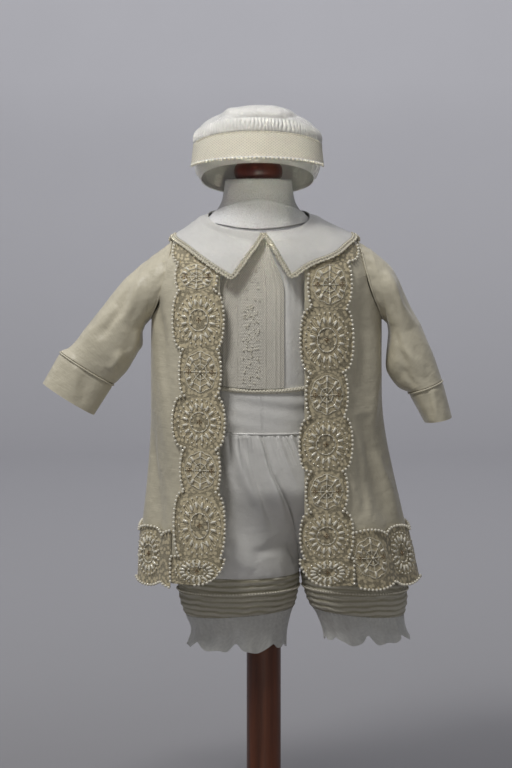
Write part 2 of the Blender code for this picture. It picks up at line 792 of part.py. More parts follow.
def main():
    for obj in list(bpy.data.objects):
        bpy.data.objects.remove(obj)
    make_stand()
    make_form()
    make_knob()
    make_coat_back()
    make_coat_front("coat_front_left", -1)
    make_coat_front("coat_front_right", 1)
    make_sleeve("coat_sleeve_left", "coat_cuff_left", -1, SLEEVE_LEFT, CUFF_LEFT)
    make_sleeve("coat_sleeve_right", "coat_cuff_right", 1, SLEEVE_RIGHT, CUFF_RIGHT)
    make_front_lace("coat_lace_front_left", LACE_LOBES_LEFT)
    make_front_lace("coat_lace_front_right", LACE_LOBES_RIGHT)
    make_hem_lace()
    make_waistband()
    make_bodice("bodice_front", False)
    make_bodice("bodice_back", True)
    make_plastron()
    make_leg(-1, "left", LEG_LEFT)
    make_leg(1, "right", LEG_RIGHT)
    make_collar(-1, "left", COLLAR_LEFT)
    make_collar(1, "right", COLLAR_RIGHT)
    make_cap()


main()
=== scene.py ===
"""A baby's christening suit on a dress form: open silk coat with beaded lace, satin one-piece and cap.

The cloth is laid out on smooth section surfaces in millimetres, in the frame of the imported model:
-Y is the front, -X the left side seen from the front, and +Z is up.
"""

import math

import bpy
import numpy as np
from bpy.props import FloatProperty, FloatVectorProperty, PointerProperty
from mathutils import Matrix, Vector


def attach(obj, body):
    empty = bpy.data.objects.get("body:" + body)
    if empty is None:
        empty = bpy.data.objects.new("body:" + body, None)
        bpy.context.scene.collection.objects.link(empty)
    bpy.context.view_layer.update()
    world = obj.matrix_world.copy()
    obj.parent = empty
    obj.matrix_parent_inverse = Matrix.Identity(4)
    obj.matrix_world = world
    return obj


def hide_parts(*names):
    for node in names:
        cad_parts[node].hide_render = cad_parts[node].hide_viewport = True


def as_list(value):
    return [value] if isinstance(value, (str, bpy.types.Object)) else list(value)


bl_info = {
    "name": "Christening suit",
    "version": (1, 0, 0),
    "blender": (4, 5, 0),
    "location": "3D View > Sidebar > Suit",
    "description": "Builds a baby's christening suit on a dress form around its packed model",
    "category": "Object",
}

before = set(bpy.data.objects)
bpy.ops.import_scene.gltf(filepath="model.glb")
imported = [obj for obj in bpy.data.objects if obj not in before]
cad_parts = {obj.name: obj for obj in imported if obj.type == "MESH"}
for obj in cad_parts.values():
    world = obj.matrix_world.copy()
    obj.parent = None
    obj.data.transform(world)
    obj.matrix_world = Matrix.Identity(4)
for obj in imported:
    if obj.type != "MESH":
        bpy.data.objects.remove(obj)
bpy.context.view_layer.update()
MM = 0.001
TAU = 2 * math.pi

# ---------------------------------------------------------------- the suit's sections, as cut

COAT_HEM, COAT_FOLD_TOP = 294.0, 520.0
COAT_EDGE = 45.0
HEM_CORNER = 34.0
ARMHOLE_HEIGHT, ARMHOLE_RISE, ARMHOLE_DEPTH = 612.0, 42.0, 38.0
NECK_LOW, NECK_HIGH = 664.0, 688.0
COAT_BELOW_NECK, BODICE_BELOW_NECK = 9.0, 4.0
BARE_INNER, BARE_OUTER = 622.0, 649.0
HEM_LACE_TOP, HEM_LACE_LOW = 346.0, 288.0
LACE_INNER, LACE_CORNER, LACE_LIFT = 39.0, 97.0, 2.1
WAIST_SEAM, BODICE_SEAM = 449.0, 494.0
PLASTRON_LEFT, PLASTRON_RIGHT = -44.0, 23.0
LEG_BAND_LOW, LEG_BAND_TOP = 243.0, 291.0
CROTCH_LOW, CROTCH_TOP = 290.0, 392.0
FRILL_HEM = 208.0
COLLAR_LIFT, COLLAR_EDGING = 4.2, 5.6
CAP_SEAT, CAP_TILT = (-5.0, 4.0, 731.0), 14.0
BRIM_HALF_ANGLE, BRIM_FORWARD, BRIM_DROP = 72.0, 19.0, 28.0
BRIM_SEAM_HEIGHT, GATHER_HEIGHT = 24.0, 13.0
SEAM_ANGLE = 0.2
SCALLOPS_PER_DEGREE, HEM_LOBE_HEIGHT, CORNER_SEAM = 6.5, 316.0, 0.5
CORD_AIM = (0.13, 0.21, 0.97)  # no cord runs this way
BEAD_SEAT = 0.42  # how far a bead's middle stands off the cloth, in bead widths
BEADED_TUCK = 40  # the row of a leg band's grid that carries beads

# height, left, right, front, back, squareness
COAT_SECTIONS = (
    (286, 133, 168, 92, 98, 2.3),
    (340, 130, 156, 90, 94, 2.3),
    (400, 125, 143, 87, 88, 2.3),
    (460, 122, 133, 84, 82, 2.3),
    (515, 122, 131, 82, 78, 2.3),
    (570, 121, 131, 79, 74, 2.3),
    (612, 117, 127, 75, 70, 2.25),
    (638, 109, 117, 68, 63, 2.15),
    (654, 98, 104, 59, 57, 2.0),
    (664, 85, 87, 53, 54, 2.0),
    (675, 70, 65, 48.5, 51, 2.0),
    (686, 57.5, 50, 44.5, 47.5, 2.0),
    (696, 50, 42, 42, 45, 2.0),
)

# place in degrees from the front, width in degrees, depth at the hem
COAT_FOLDS = (
    (62, 9, -5.0),
    (84, 8, 4.0),
    (118, 11, -7.0),
    (146, 10, 6.0),
    (172, 12, -7.0),
    (200, 10, 6.0),
    (232, 12, -6.0),
    (278, 9, 3.0),
    (298, 9, -4.0),
)

# height, left, right, front, back, squareness
BODICE_SECTIONS = (
    (449, 80, 84, 73, 69, 2.1),
    (494, 82, 84, 73, 69, 2.1),
    (540, 89, 88, 72, 66, 2.1),
    (570, 96, 94, 70, 64, 2.05),
    (612, 105, 99, 65, 61, 2.0),
    (638, 102, 96, 59.4, 56.4, 2.0),
    (654, 93, 85, 52.6, 52, 2.0),
    (664, 79.8, 71.8, 48.8, 49.8, 2.0),
    (675, 67, 59, 46, 48.5, 2.0),
    (686, 55, 47, 42.5, 45.5, 2.0),
    (692, 51, 43, 41.5, 44, 2.0),
)
BODICE_ARMHOLE_RISE, BODICE_ARMHOLE_DEPTH = 36.0, 34.0

# height, half width, front depth, back depth, shift to the right
FORM_SECTIONS = (
    (378, 70, 54, 55, 0),
    (388, 77, 60, 61, 0),
    (410, 78, 63, 63, 0),
    (460, 75, 63, 61, -1),
    (515, 79, 64, 60, -2),
    (570, 88, 64, 60, -2),
    (612, 97, 61, 57, -3),
    (638, 92.6, 54.2, 51.6, -3),
    (654, 84.2, 48.6, 47.6, -4),
    (664, 71.6, 44.8, 45.8, -4),
    (675, 59.6, 42.4, 44.8, -4),
    (686, 48, 39.2, 42.2, -4),
    (696, 41, 37.2, 39.6, -4),
    (708, 38, 36, 38, -4),
    (722, 36.5, 35, 37, -4),
)

# step, outer x, outer height, inner x, inner height, y, half depth, from the armhole down
SLEEVE_LEFT = (
    (0, -111, 645, -128, 563, -1, 36),
    (1, -141, 622, -133, 548, -2, 33),
    (2, -169, 591, -137, 535, -4, 30),
    (3, -191, 562, -147, 514, -6, 27),
    (4, -208, 541, -156, 504, -8, 24),
    (5, -220, 535, -162, 499, -9, 22),
)
SLEEVE_RIGHT = (
    (0, 119, 646, 138, 564, -1, 36),
    (1, 143, 624, 139, 547, -2, 34),
    (2, 161, 594, 137, 529, -3, 32),
    (3, 175, 560, 137, 512, -5, 32),
    (4, 188, 529, 148, 496, -7, 32),
    (5, 197, 504, 160, 490, -8, 32),
)
CUFF_LEFT = ((0, -220.5, 534.2, -162.5, 498.2, -9, 22), (1, -240, 500, -184, 465, -11, 21))
CUFF_RIGHT = ((0, 197.3, 503.2, 160.4, 489.2, -8, 32), (1, 208, 463, 178, 457, -10, 32))

# top, bottom, middle, half width of each lobe of a front lace
LOBES_LEFT = (
    (652, 632, -74, 20),
    (631, 602, -69, 22),
    (600, 542, -67, 27),
    (541, 491, -65, 22),
    (489, 436, -66, 27),
    (434, 388, -65, 21),
    (386, 318, -66, 27),
)
LOBES_RIGHT = (
    (653, 633, 78, 24),
    (632, 585, 71, 23),
    (582, 518, 68, 28),
    (515, 468, 68, 22),
    (466, 412, 67, 28),
    (410, 368, 68, 22),
    (366, 318, 68, 28),
)

# height, inner x, outer x, front depth, back depth
LEG_LEFT = (
    (205, 24, -76, 41, 42),
    (225, 26, -74, 40, 42),
    (243, 31, -84, 46, 47),
    (260, 37, -90, 54, 53),
    (291, 41, -93, 62, 58),
    (330, 37, -94, 70, 64),
    (372, 27, -92, 76, 68),
    (410, 10, -88, 77, 69),
    (449, -2, -80, 73, 69),
)
LEG_RIGHT = (
    (205, 72, 162, 38, 42),
    (225, 69, 156, 38, 42),
    (243, 61, 157, 44, 47),
    (260, 51, 160, 50, 53),
    (291, 43, 157, 57, 58),
    (330, 37.6, 147, 65, 64),
    (372, 27.6, 128, 71, 68),
    (410, 10.6, 106, 75, 69),
    (449, -1.4, 84, 73, 69),
)

# neck angle, outer angle, outer height of the collar's ribs, front to back
COLLAR_LEFT = (
    (2, 15.5, 619),
    (12, 25, 629),
    (25, 38, 641),
    (42, 54, 651),
    (60, 72, 657),
    (80, 88, 660),
    (108, 108, 654),
    (142, 142, 648),
    (176, 175, 646),
)
COLLAR_RIGHT = ((2, 10.5, 620), (12, 21, 632)) + COLLAR_LEFT[2:]

# height above the cap's seat, half width, front depth, back depth
CROWN_SECTIONS = (
    (-9, 62, 65, 66),
    (4, 68, 70, 72),
    (22, 71, 72, 76),
    (38, 68, 71, 75),
    (50, 58, 62, 68),
    (59, 42, 46, 52),
    (65, 21, 24, 28),
    (66, 8, 9, 10),
)

# ---------------------------------------------------------------- main creases
# start x, start height, end x, end height, width, depth (minus sinks in)

COAT_CREASES_FRONT = (
    (-116, 600, -96, 470, 6, -3.1),
    (-104, 560, -98, 400, 9, 2.7),
    (-124, 470, -112, 330, 7, -3.4),
    (-100, 640, -112, 590, 6, 2.5),
    (112, 620, 104, 470, 8, -3.4),
    (124, 560, 118, 430, 7, 2.7),
    (108, 470, 132, 352, 8, -4.1),
    (122, 430, 148, 350, 6, 3.1),
    (104, 430, 112, 360, 6, -2.4),
)
COAT_CREASES_BACK = (
    (-90, 620, -60, 470, 9, -3.2),
    (84, 610, 50, 480, 9, -3.2),
    (-20, 560, -36, 380, 10, 2.9),
    (30, 520, 44, 360, 8, -2.6),
)
SLEEVE_CREASES_LEFT = (
    (-128, 622, -150, 566, 6, -3.6),
    (-140, 606, -176, 548, 5, 3.0),
    (-133, 560, -146, 528, 4, -4.5),
    (-152, 536, -166, 514, 4, -3.9),
    (-158, 586, -196, 546, 7, -2.1),
    (-124, 640, -146, 612, 5, 2.4),
)
SLEEVE_CREASES_RIGHT = (
    (132, 622, 160, 560, 6, -5.6),
    (140, 632, 172, 566, 5, 3.6),
    (140, 566, 156, 520, 5, 3.1),
    (146, 548, 178, 508, 5, -3.4),
    (150, 520, 166, 496, 4, 2.5),
)
KNICKER_CREASES = (
    (-20, 446, 16, 340, 6, -7.5),
    (-34, 446, -8, 372, 5, 3.5),
    (-4, 446, 24, 350, 5, 5.2),
    (-48, 444, -38, 352, 6, -3.0),
    (2, 430, 12, 398, 3, -2.2),
    (-66, 420, -60, 330, 7, 2.7),
    (30, 330, 38, 302, 4, -4.1),
    (-60, 338, -10, 300, 9, 4.1),
    (-10, 318, 34, 330, 7, -3.2),
    (-72, 310, -40, 298, 6, -2.7),
    (60, 420, 90, 330, 8, -3.2),
    (96, 400, 120, 320, 7, 3.0),
    (50, 360, 60, 310, 6, 2.7),
)
CAP_CREASES = (
    (-58, 794, -24, 787, 3, -3.2),
    (-34, 787, 30, 787, 3, -4.6),
    (20, 787, 50, 793, 3, -2.6),
    (-40, 795, 20, 796, 5, 1.8),
    (-46, 796, -62, 776, 5, -2.6),
    (-30, 800, -44, 784, 5, 1.8),
    (30, 796, 52, 780, 7, -1.6),
    (-70, 768, -74, 742, 5, -1.4),
    (60, 770, 66, 740, 6, -1.6),
)


# ---------------------------------------------------------------- surface maths, on arrays


def smooth(t):
    """A soft step from 0 to 1."""
    t = np.clip(t, 0.0, 1.0)
    return t * t * (3 - 2 * t)


def unit(vectors):
    """The same vectors at length one."""
    return vectors / np.maximum(np.linalg.norm(vectors, axis=-1, keepdims=True), 1e-9)


def ridge(place, middle, width, power=2):
    """A rounded ridge of height one at the middle, fading within its width."""
    return np.exp(-(((place - middle) / width) ** power))


def wave(turns):
    """A sine wave, one for each whole turn."""
    return np.sin(TAU * turns)


def rows_at(table, place):
    """The rows of a table at these places of its first column, along smooth curves through its rows."""
    rows = np.array(sorted(table), float)
    place = np.clip(np.asarray(place, float), rows[0, 0], rows[-1, 0])
    k = np.clip(np.searchsorted(rows[:, 0], place, side="right") - 1, 0, len(rows) - 2)
    low, high = rows[k], rows[k + 1]
    before, after = rows[np.maximum(k - 1, 0)], rows[np.minimum(k + 2, len(rows) - 1)]
    span = high[..., :1] - low[..., :1]
    t = (place[..., None] - low[..., :1]) / span
    start = (high - before) / (high[..., :1] - before[..., :1]) * span
    end = (after - low) / (after[..., :1] - low[..., :1]) * span
    found = low * (2 * t**3 - 3 * t**2 + 1) + start * (t**3 - 2 * t**2 + t)
    found += high * (3 * t**2 - 2 * t**3) + end * (t**3 - t**2)
    return np.moveaxis(found[..., 1:], -1, 0)


def signed_power(value, power):
    return np.sign(value) * np.abs(value) ** power


def ring(section, angle, height):
    """Points of a rounded section; angles in degrees, 0 in front and 90 on the right."""
    left, right, front, back, square = section
    turn = np.radians(angle)
    depth = np.where(np.cos(turn) > 0, front, back)
    x = (right - left) / 2 + (right + left) / 2 * signed_power(np.sin(turn), 2 / square)
    y = -depth * signed_power(np.cos(turn), 2 / square)
    return np.stack([x, y, height + 0 * x], -1)


def angle_at_x(table, height, x):
    """The angle on a section, in front, where it reaches this x."""
    left, right, _, _, square = rows_at(table, height)
    reach = np.clip((x - (right - left) / 2) / ((right + left) / 2), -1, 1)
    return np.degrees(np.arcsin(signed_power(reach, square / 2)))


def seam_angle(table, height, rise, depth, behind):
    """Where a body panel ends: on its side seam, or on the armhole."""
    away = np.clip(np.abs(height - ARMHOLE_HEIGHT) / rise, 0, 1)
    opening = depth * np.sqrt(1 - away * away)
    _, _, front, back, square = rows_at(table, height)
    share = np.clip(opening / (back if behind else front), 0, 1)
    angle = np.degrees(np.arccos(share ** (square / 2)))
    return np.maximum(180 - angle, 90 + SEAM_ANGLE) if behind else np.minimum(angle, 90 - SEAM_ANGLE)


def neck_height(angle):
    """The neck's edge, low in front and high behind."""
    return NECK_HIGH - (NECK_HIGH - NECK_LOW) * ((1 + np.cos(np.radians(angle))) / 2) ** 3


def corner_rise(distance):
    """How far a rounded hem corner rises at this distance from the front edge."""
    inside = np.clip(HEM_CORNER - distance, 0, HEM_CORNER)
    return HEM_CORNER - np.sqrt(HEM_CORNER**2 - inside**2)


def facing(points_of, a, b, nudge=0.4):
    """The unit normals of a surface given in angle and height."""
    across = points_of(a + nudge, b) - points_of(a - nudge, b)
    up = points_of(a, b + nudge) - points_of(a, b - nudge)
    return unit(np.cross(across, up))


def crease_push(points, creases, behind=False):
    """How far creases push each point out, fading along each crease and to its sides."""
    push = np.zeros(points.shape[:-1])
    here = points[..., [0, 2]]
    for x0, z0, x1, z1, width, depth in creases:
        start, end = np.array([x0, z0], float), np.array([x1, z1], float)
        along = end - start
        t = ((here - start) @ along) / (along @ along)
        near = start + np.clip(t, 0, 1)[..., None] * along
        away = np.linalg.norm(here - near, axis=-1)
        wander = 1 + 0.25 * np.sin(9 * t + x0)
        fade = np.clip(np.sin(np.pi * np.clip(t, 0, 1)), 0, 1) ** 0.7
        push += depth * fade * ridge(away, 0, width * wander)
    side = smooth((points[..., 1] + 30) / 30)
    return push * (side if behind else 1 - side)


def coat_base(angle, height):
    points = ring(rows_at(COAT_SECTIONS, height), angle, height)
    deepening = smooth((COAT_FOLD_TOP - height) / (COAT_FOLD_TOP - COAT_HEM))
    push = 0.0
    for place, width, depth in COAT_FOLDS:
        away = (angle - place + 180) % 360 - 180
        push = push + depth * deepening * ridge(away, 0, width)
    return points + unit(points * np.array([1, 1, 0])) * push[..., None]


def coat_skin(angle, height, lift=0.0):
    """The coat's outer face with its creases, or the skin this far outside it."""
    points = coat_base(angle, height)
    push = 1.5 * crease_push(points, COAT_CREASES_FRONT)
    push = push + 1.9 * crease_push(points, COAT_CREASES_BACK, True)
    return points + facing(coat_base, angle, height) * (push + lift)[..., None]


def front_angle(side, u, height):
    """The angle at share u of a front panel, from its open edge to its side seam or armhole."""
    side_angle = seam_angle(COAT_SECTIONS, height, ARMHOLE_RISE, ARMHOLE_DEPTH, False)
    shoulder = smooth((height - 640) / 30)
    edge_angle = np.abs(angle_at_x(COAT_SECTIONS, height, side * COAT_EDGE))
    edge_angle = edge_angle * (1 - shoulder) + 42 * shoulder
    return edge_angle + (side_angle - edge_angle) * u


def bodice_base(angle, height):
    return ring(rows_at(BODICE_SECTIONS, height), angle, height)


def seam_height(angle):
    """The seam between bodice and waistband, higher behind."""
    return BODICE_SEAM + 40 * np.sin(np.radians(angle) / 2) ** 2


# ---------------------------------------------------------------- meshes


def steps(count, start=0.0, end=1.0):
    return np.linspace(start, end, count + 1)


def point_uv(mesh, name, uvs):
    """A UV map from one UV for each point."""
    corners = np.zeros(len(mesh.loops), np.int32)
    mesh.loops.foreach_get("vertex_index", corners)
    layer = mesh.uv_layers.new(name=name)
    layer.data.foreach_set("uv", np.asarray(uvs, np.float32).reshape(-1, 2)[corners].ravel())


def mesh_object(name, points, faces, uvs=None):
    """A mesh object from points in millimetres and faces, with one UV for each point if given."""
    mesh = bpy.data.meshes.new(name)
    mesh.from_pydata((np.asarray(points, float).reshape(-1, 3) * MM).tolist(), [], faces)
    if uvs is not None:
        point_uv(mesh, "cloth", uvs)
    obj = bpy.data.objects.new(name, mesh)
    bpy.context.scene.collection.objects.link(obj)
    return obj


def only(obj):
    """Selects this object alone and makes it active."""
    bpy.ops.object.select_all(action="DESELECT")
    obj.select_set(True)
    bpy.context.view_layer.objects.active = obj


def outward(obj, finish):
    """Turns the faces outward, smooths them and gives them their finish."""
    only(obj)
    bpy.ops.object.mode_set(mode="EDIT")
    bpy.ops.mesh.select_all(action="SELECT")
    bpy.ops.mesh.normals_make_consistent(inside=False)
    bpy.ops.object.mode_set(mode="OBJECT")
    bpy.ops.object.shade_smooth()
    obj.data.materials.append(finish)
    return obj


def cloth(name, points, wall, finish, closed=False, crown=None, flip=False, sharp=60):
    """Cloth this many metres thick, whose outer face is this grid of points, in rows and columns."""
    rows, columns = points.shape[:2]
    index = np.arange(rows * columns).reshape(rows, columns)
    beside = np.roll(index, -1, 1) if closed else index[:, 1:]
    here = index if closed else index[:, :-1]
    faces = np.stack([here[:-1], beside[:-1], beside[1:], here[1:]], -1).reshape(-1, 4)
    gaps = np.linalg.norm(np.diff(points, axis=1, append=points[:, -1:]), axis=-1)
    across = np.cumsum(gaps, 1) - gaps
    across -= across[:, columns // 2][:, None]
    rise = np.linalg.norm(np.diff(points, axis=0, prepend=points[:1]), axis=-1)
    uv = np.stack([across, np.cumsum(rise.mean(1))[:, None] + 0 * across], -1) * MM
    flat, uvs, faces = points.reshape(-1, 3), uv.reshape(-1, 2), faces.tolist()
    if crown is not None:
        last = (rows - 1) * columns
        faces += [[last + k, last + (k + 1) % columns, len(flat)] for k in range(columns)]
        flat, uvs = np.vstack([flat, [crown]]), np.vstack([uvs, uvs[-1:]])
    if flip:
        faces = [face[::-1] for face in faces]
    obj = mesh_object(name, flat, faces, uvs)
    if wall:
        solid = obj.modifiers.new("Wall", "SOLIDIFY")
        solid.thickness = wall
        solid.offset = -1
        only(obj)
        bpy.ops.object.modifier_apply(modifier=solid.name)
    only(obj)
    bpy.ops.object.shade_smooth()
    obj.data.set_sharp_from_angle(angle=math.radians(sharp))
    obj.data.materials.append(finish)
    return obj


def cord_mesh(name, paths, radius, finish, sides=6, closed=True):
    """Thin cords along these rows of points, joined in one mesh."""
    points, faces = [], []
    for path in paths:
        path = np.asarray(path, float)
        count = len(path)
        if closed:
            tangent = np.roll(path, -1, 0) - np.roll(path, 1, 0)
        else:
            tangent = np.gradient(path, axis=0)
        tangent = unit(tangent)
        side = unit(np.cross(tangent, CORD_AIM))
        other = np.cross(tangent, side)
        turns = np.arange(sides) / sides * TAU
        round_it = np.cos(turns)[:, None] * side[:, None] + np.sin(turns)[:, None] * other[:, None]
        tube = path[:, None] + radius * round_it
        base = len(points) and sum(len(part) for part in points)
        index = base + np.arange(count * sides).reshape(count, sides)
        after = np.roll(index, -1, 0) if closed else index[1:]
        here = index if closed else index[:-1]
        quads = np.stack([here, np.roll(here, -1, 1), np.roll(after, -1, 1), after], -1)
        faces += quads.reshape(-1, 4).tolist()
        if not closed:
            faces += [index[0][::-1].tolist(), index[-1].tolist()]
        points.append(tube.reshape(-1, 3))
    return outward(mesh_object(name, np.vstack(points), faces), finish)


def bead_template():
    """One round bead of diameter 1, modelled once and arrayed."""
    bpy.ops.object.select_all(action="DESELECT")
    bpy.ops.mesh.primitive_uv_sphere_add(segments=8, ring_count=5, radius=0.5)
    ball = bpy.context.active_object
    points = np.array([vertex.co[:] for vertex in ball.data.vertices])
    faces = [list(face.vertices) for face in ball.data.polygons]
    bpy.data.objects.remove(ball)
    return points, faces


def bead_mesh(name, groups, finish):
    """Beads joined in one mesh. Each group is places, normals, directions and (length, width)."""
    ball, ball_faces = bead_template()
    points, faces, count = [], [], 0
    for places, normals, directions, size in groups:
        for place, normal, direction in zip(places, normals, directions):
            across = unit(np.cross(normal, direction))
            along = np.cross(across, normal)
            axes = np.stack([along * size[0], across * size[1], normal * size[1]])
            points.append(place + normal * size[1] * BEAD_SEAT + ball @ axes)
            faces += [[k + count for k in face] for face in ball_faces]
            count += len(ball)
    return outward(mesh_object(name, np.vstack(points), faces), finish)


def keep(obj, nodes, slot):
    """The piece rides on the body and stands for these CAD nodes; the slot is not used."""
    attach(obj, "root")
    if nodes:
        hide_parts(*nodes)
    return obj


# ---------------------------------------------------------------- materials


class Nodes:
    """Adds nodes to one shader tree. Each value is a number, a colour or another node's output."""

    def __init__(self, tree):
        self.tree = tree

    def join(self, socket, value):
        if isinstance(value, bpy.types.NodeSocket):
            self.tree.links.new(value, socket)
        else:
            socket.default_value = value

    def add(self, kind, inputs, **settings):
        node = self.tree.nodes.new("ShaderNode" + kind)
        for key, value in settings.items():
            setattr(node, key, value)
        for key, value in inputs.items():
            self.join(node.inputs[key], value)
        return node.outputs

    def maths(self, operation, first, second=0.5):
        return self.add("Math", {0: first, 1: second}, operation=operation)[0]

    def times(self, first, second):
        return self.maths("MULTIPLY", first, second)

    def plus(self, first, second):
        return self.maths("ADD", first, second)

    def most(self, first, second):
        return self.maths("MAXIMUM", first, second)

    def away(self, value, place):
        return self.maths("ABSOLUTE", self.maths("SUBTRACT", value, place))

    def mix(self, share, first, second):
        return self.add("Mix", {0: share, 6: first, 7: second}, data_type="RGBA")[2]

    def spread(self, value, low, high, start=0.0, end=1.0):
        """The value's share of the way from low to high, laid out from start to end."""
        inputs = {"Value": value, "From Min": low, "From Max": high, "To Min": start, "To Max": end}
        return self.add("MapRange", inputs)[0]

    def noise(self, vector, scale, detail, stretch=None, distortion=0.0):
        """Noise, scaled unevenly along the axes where stretch is given."""
        if stretch:
            vector = self.add("Mapping", {"Vector": vector, "Scale": stretch})[0]
        inputs = {"Vector": vector, "Scale": scale, "Detail": detail, "Distortion": distortion}
        return self.add("TexNoise", inputs)[0]

    def cells(self, vector, scale, **settings):
        return self.add("TexVoronoi", {"Vector": vector, "Scale": scale}, **settings)[0]

    def bump(self, strength, distance, height, **before):
        inputs = {"Strength": strength, "Distance": distance, "Height": height, **before}
        return self.add("Bump", inputs)[0]

    def uv(self, name="cloth"):
        return self.add("UVMap", {}, uv_map=name)[0]

    def place(self):
        return self.add("TexCoord", {})["Object"]

    def parts(self, vector):
        return self.add("SeparateXYZ", {"Vector": vector})


def group(name, inputs, outputs):
    """A new node group with these float or vector sockets, and the sockets of its two ends."""
    tree = bpy.data.node_groups.new(name, "ShaderNodeTree")
    for label, kind, value in inputs:
        socket = tree.interface.new_socket(label, in_out="INPUT", socket_type="NodeSocket" + kind)
        if value is not None:
            socket.default_value = value
    for label, kind in outputs:
        tree.interface.new_socket(label, in_out="OUTPUT", socket_type="NodeSocket" + kind)
    given, out = tree.nodes.new("NodeGroupInput"), tree.nodes.new("NodeGroupOutput")
    return Nodes(tree), given.outputs, out.inputs


def wear_group():
    """Soft puckers and uneven tone, shared by every cloth."""
    nodes, given, out = group(
        "cloth_wear",
        (("Vector", "Vector", None), ("Pucker", "Float", 0.2), ("Height", "Float", 0.0)),
        (("Tone", "Float"), ("Normal", "Vector")),
    )
    broad, fine = nodes.noise(given[0], 22.0, 3.0), nodes.noise(given[0], 95.0, 4.0)
    grain = nodes.noise(given[0], 1400.0, 2.0)
    nodes.join(out[0], nodes.plus(nodes.times(broad, 0.6), nodes.times(fine, 0.4)))
    relief = nodes.bump(given[1], 0.012, broad)
    relief = nodes.bump(given[1], 0.003, fine, Normal=relief)
    relief = nodes.bump(0.25, 0.0003, grain, Normal=relief)
    nodes.join(out[1], nodes.bump(0.7, 0.0006, given[2], Normal=relief))
    return nodes.tree


def slub_group():
    """Uneven weft threads, long across the cloth and short along it."""
    nodes, given, out = group(
        "slub_weave", (("Vector", "Vector", None),), (("Slub", "Float"), ("Thread", "Float"))
    )
    slub = nodes.noise(given[0], 1.0, 3.0, (38.0, 620.0, 1.0))
    nodes.join(out[0], nodes.spread(slub, 0.42, 0.72))
    nodes.join(out[1], nodes.noise(given[0], 1.0, 2.0, (160.0, 2300.0, 1.0)))
    return nodes.tree


def lattice_group():
    """A lattice of diamonds: how near each point is to a line, and to a hole in the middle."""
    nodes, given, out = group(
        "diamond_lattice",
        (("Vector", "Vector", None), ("Across", "Float", 150.0), ("Along", "Float", 150.0)),
        (("Line", "Float"), ("Hole", "Float")),
    )
    parts = nodes.parts(given[0])
    across = nodes.maths("PINGPONG", nodes.times(parts[0], given[1]), 0.5)
    along = nodes.maths("PINGPONG", nodes.times(parts[1], given[2]), 0.5)
    total = nodes.plus(across, along)
    nodes.join(out[0], nodes.spread(nodes.away(total, 0.5), 0.13, 0.06))
    nodes.join(out[1], nodes.most(nodes.spread(total, 0.22, 0.12), nodes.spread(total, 0.80, 0.90)))
    return nodes.tree


def new_material(name, colour, rough):
    """A Principled material of one colour: the material, its nodes and its shader's inputs."""
    made = bpy.data.materials.new(name)
    made.use_nodes = True
    made.diffuse_color = (*colour, 1)
    shader = made.node_tree.nodes["Principled BSDF"].inputs
    shader["Roughness"].default_value = rough
    return made, Nodes(made.node_tree), shader


def shade(colour, amount):
    return (*(max(channel * amount, 0.0) for channel in colour), 1)


def finish_cloth(nodes, shader, wear, base, rough, pucker, height, sheen=0.2):
    """Joins the colour, tone, roughness and relief of a cloth to its shader."""
    worn = nodes.add(
        "Group", {"Vector": nodes.place(), "Pucker": pucker, "Height": height}, node_tree=wear
    )
    tone = nodes.spread(worn[0], 0.3, 0.7, 0.93, 1.05)
    nodes.join(shader["Base Color"], nodes.add("HueSaturation", {"Color": base, "Value": tone})[0])
    nodes.join(shader["Roughness"], nodes.spread(worn[0], 0.3, 0.7, rough - 0.05, rough + 0.07))
    nodes.join(shader["Normal"], worn[1])
    shader["Sheen Weight"].default_value = sheen
    shader["Sheen Roughness"].default_value = 0.35


def satin_material(name, colour, wear, rough=0.23, pucker=0.2):
    _, nodes, shader = new_material(name, colour, rough)
    thread = nodes.noise(nodes.uv(), 1.0, 1.0, (2600.0, 380.0, 1.0))
    base = nodes.mix(nodes.times(thread, 0.3), shade(colour, 1.03), shade(colour, 0.86))
    finish_cloth(nodes, shader, wear, base, rough, pucker, thread)
    shader["Specular IOR Level"].default_value = 0.95


def silk_material(name, colour, wear, slub):
    _, nodes, shader = new_material(name, colour, 0.38)
    woven = nodes.add("Group", {"Vector": nodes.uv()}, node_tree=slub)
    base = nodes.mix(woven[0], shade(colour, 0.99), shade(colour, 1.04))
    base = nodes.mix(nodes.times(woven[1], 0.25), base, shade(colour, 0.82))
    height = nodes.times(nodes.plus(woven[0], nodes.times(woven[1], 0.5)), 0.16)
    finish_cloth(nodes, shader, wear, base, 0.42, 0.34, height, 0.25)


def net_lace_material(name, colour, wear):
    """Champagne lace: net ground, with satin stitches laid round each scallop's middle."""
    _, nodes, shader = new_material(name, colour, 0.55)
    place = nodes.uv()
    net = nodes.cells(place, 620.0, voronoi_dimensions="2D", feature="DISTANCE_TO_EDGE")
    across, along = nodes.parts(nodes.uv("lobe"))[:2]
    reach = nodes.maths("SQRT", nodes.plus(nodes.times(across, across), nodes.times(along, along)))
    turn = nodes.maths("ARCTAN2", along, across)
    stitch = nodes.times(nodes.maths("PINGPONG", nodes.times(turn, 9.5), 0.5), 2.0)
    band = nodes.times(nodes.spread(nodes.away(reach, 0.66), 0.27, 0.19), stitch)
    rim = nodes.times(nodes.spread(nodes.away(reach, 0.96), 0.06, 0.02), 0.5)
    leaf = nodes.spread(nodes.cells(place, 190.0, voronoi_dimensions="2D"), 0.42, 0.3)
    sewn = nodes.most(nodes.most(band, rim), nodes.times(leaf, 0.7))
    threads = nodes.most(sewn, nodes.times(nodes.spread(net, 0.14, 0.03), 0.6))
    base = nodes.mix(threads, shade(colour, 0.52), shade(colour, 1.7))
    finish_cloth(nodes, shader, wear, base, 0.55, 0.12, threads, 0.3)


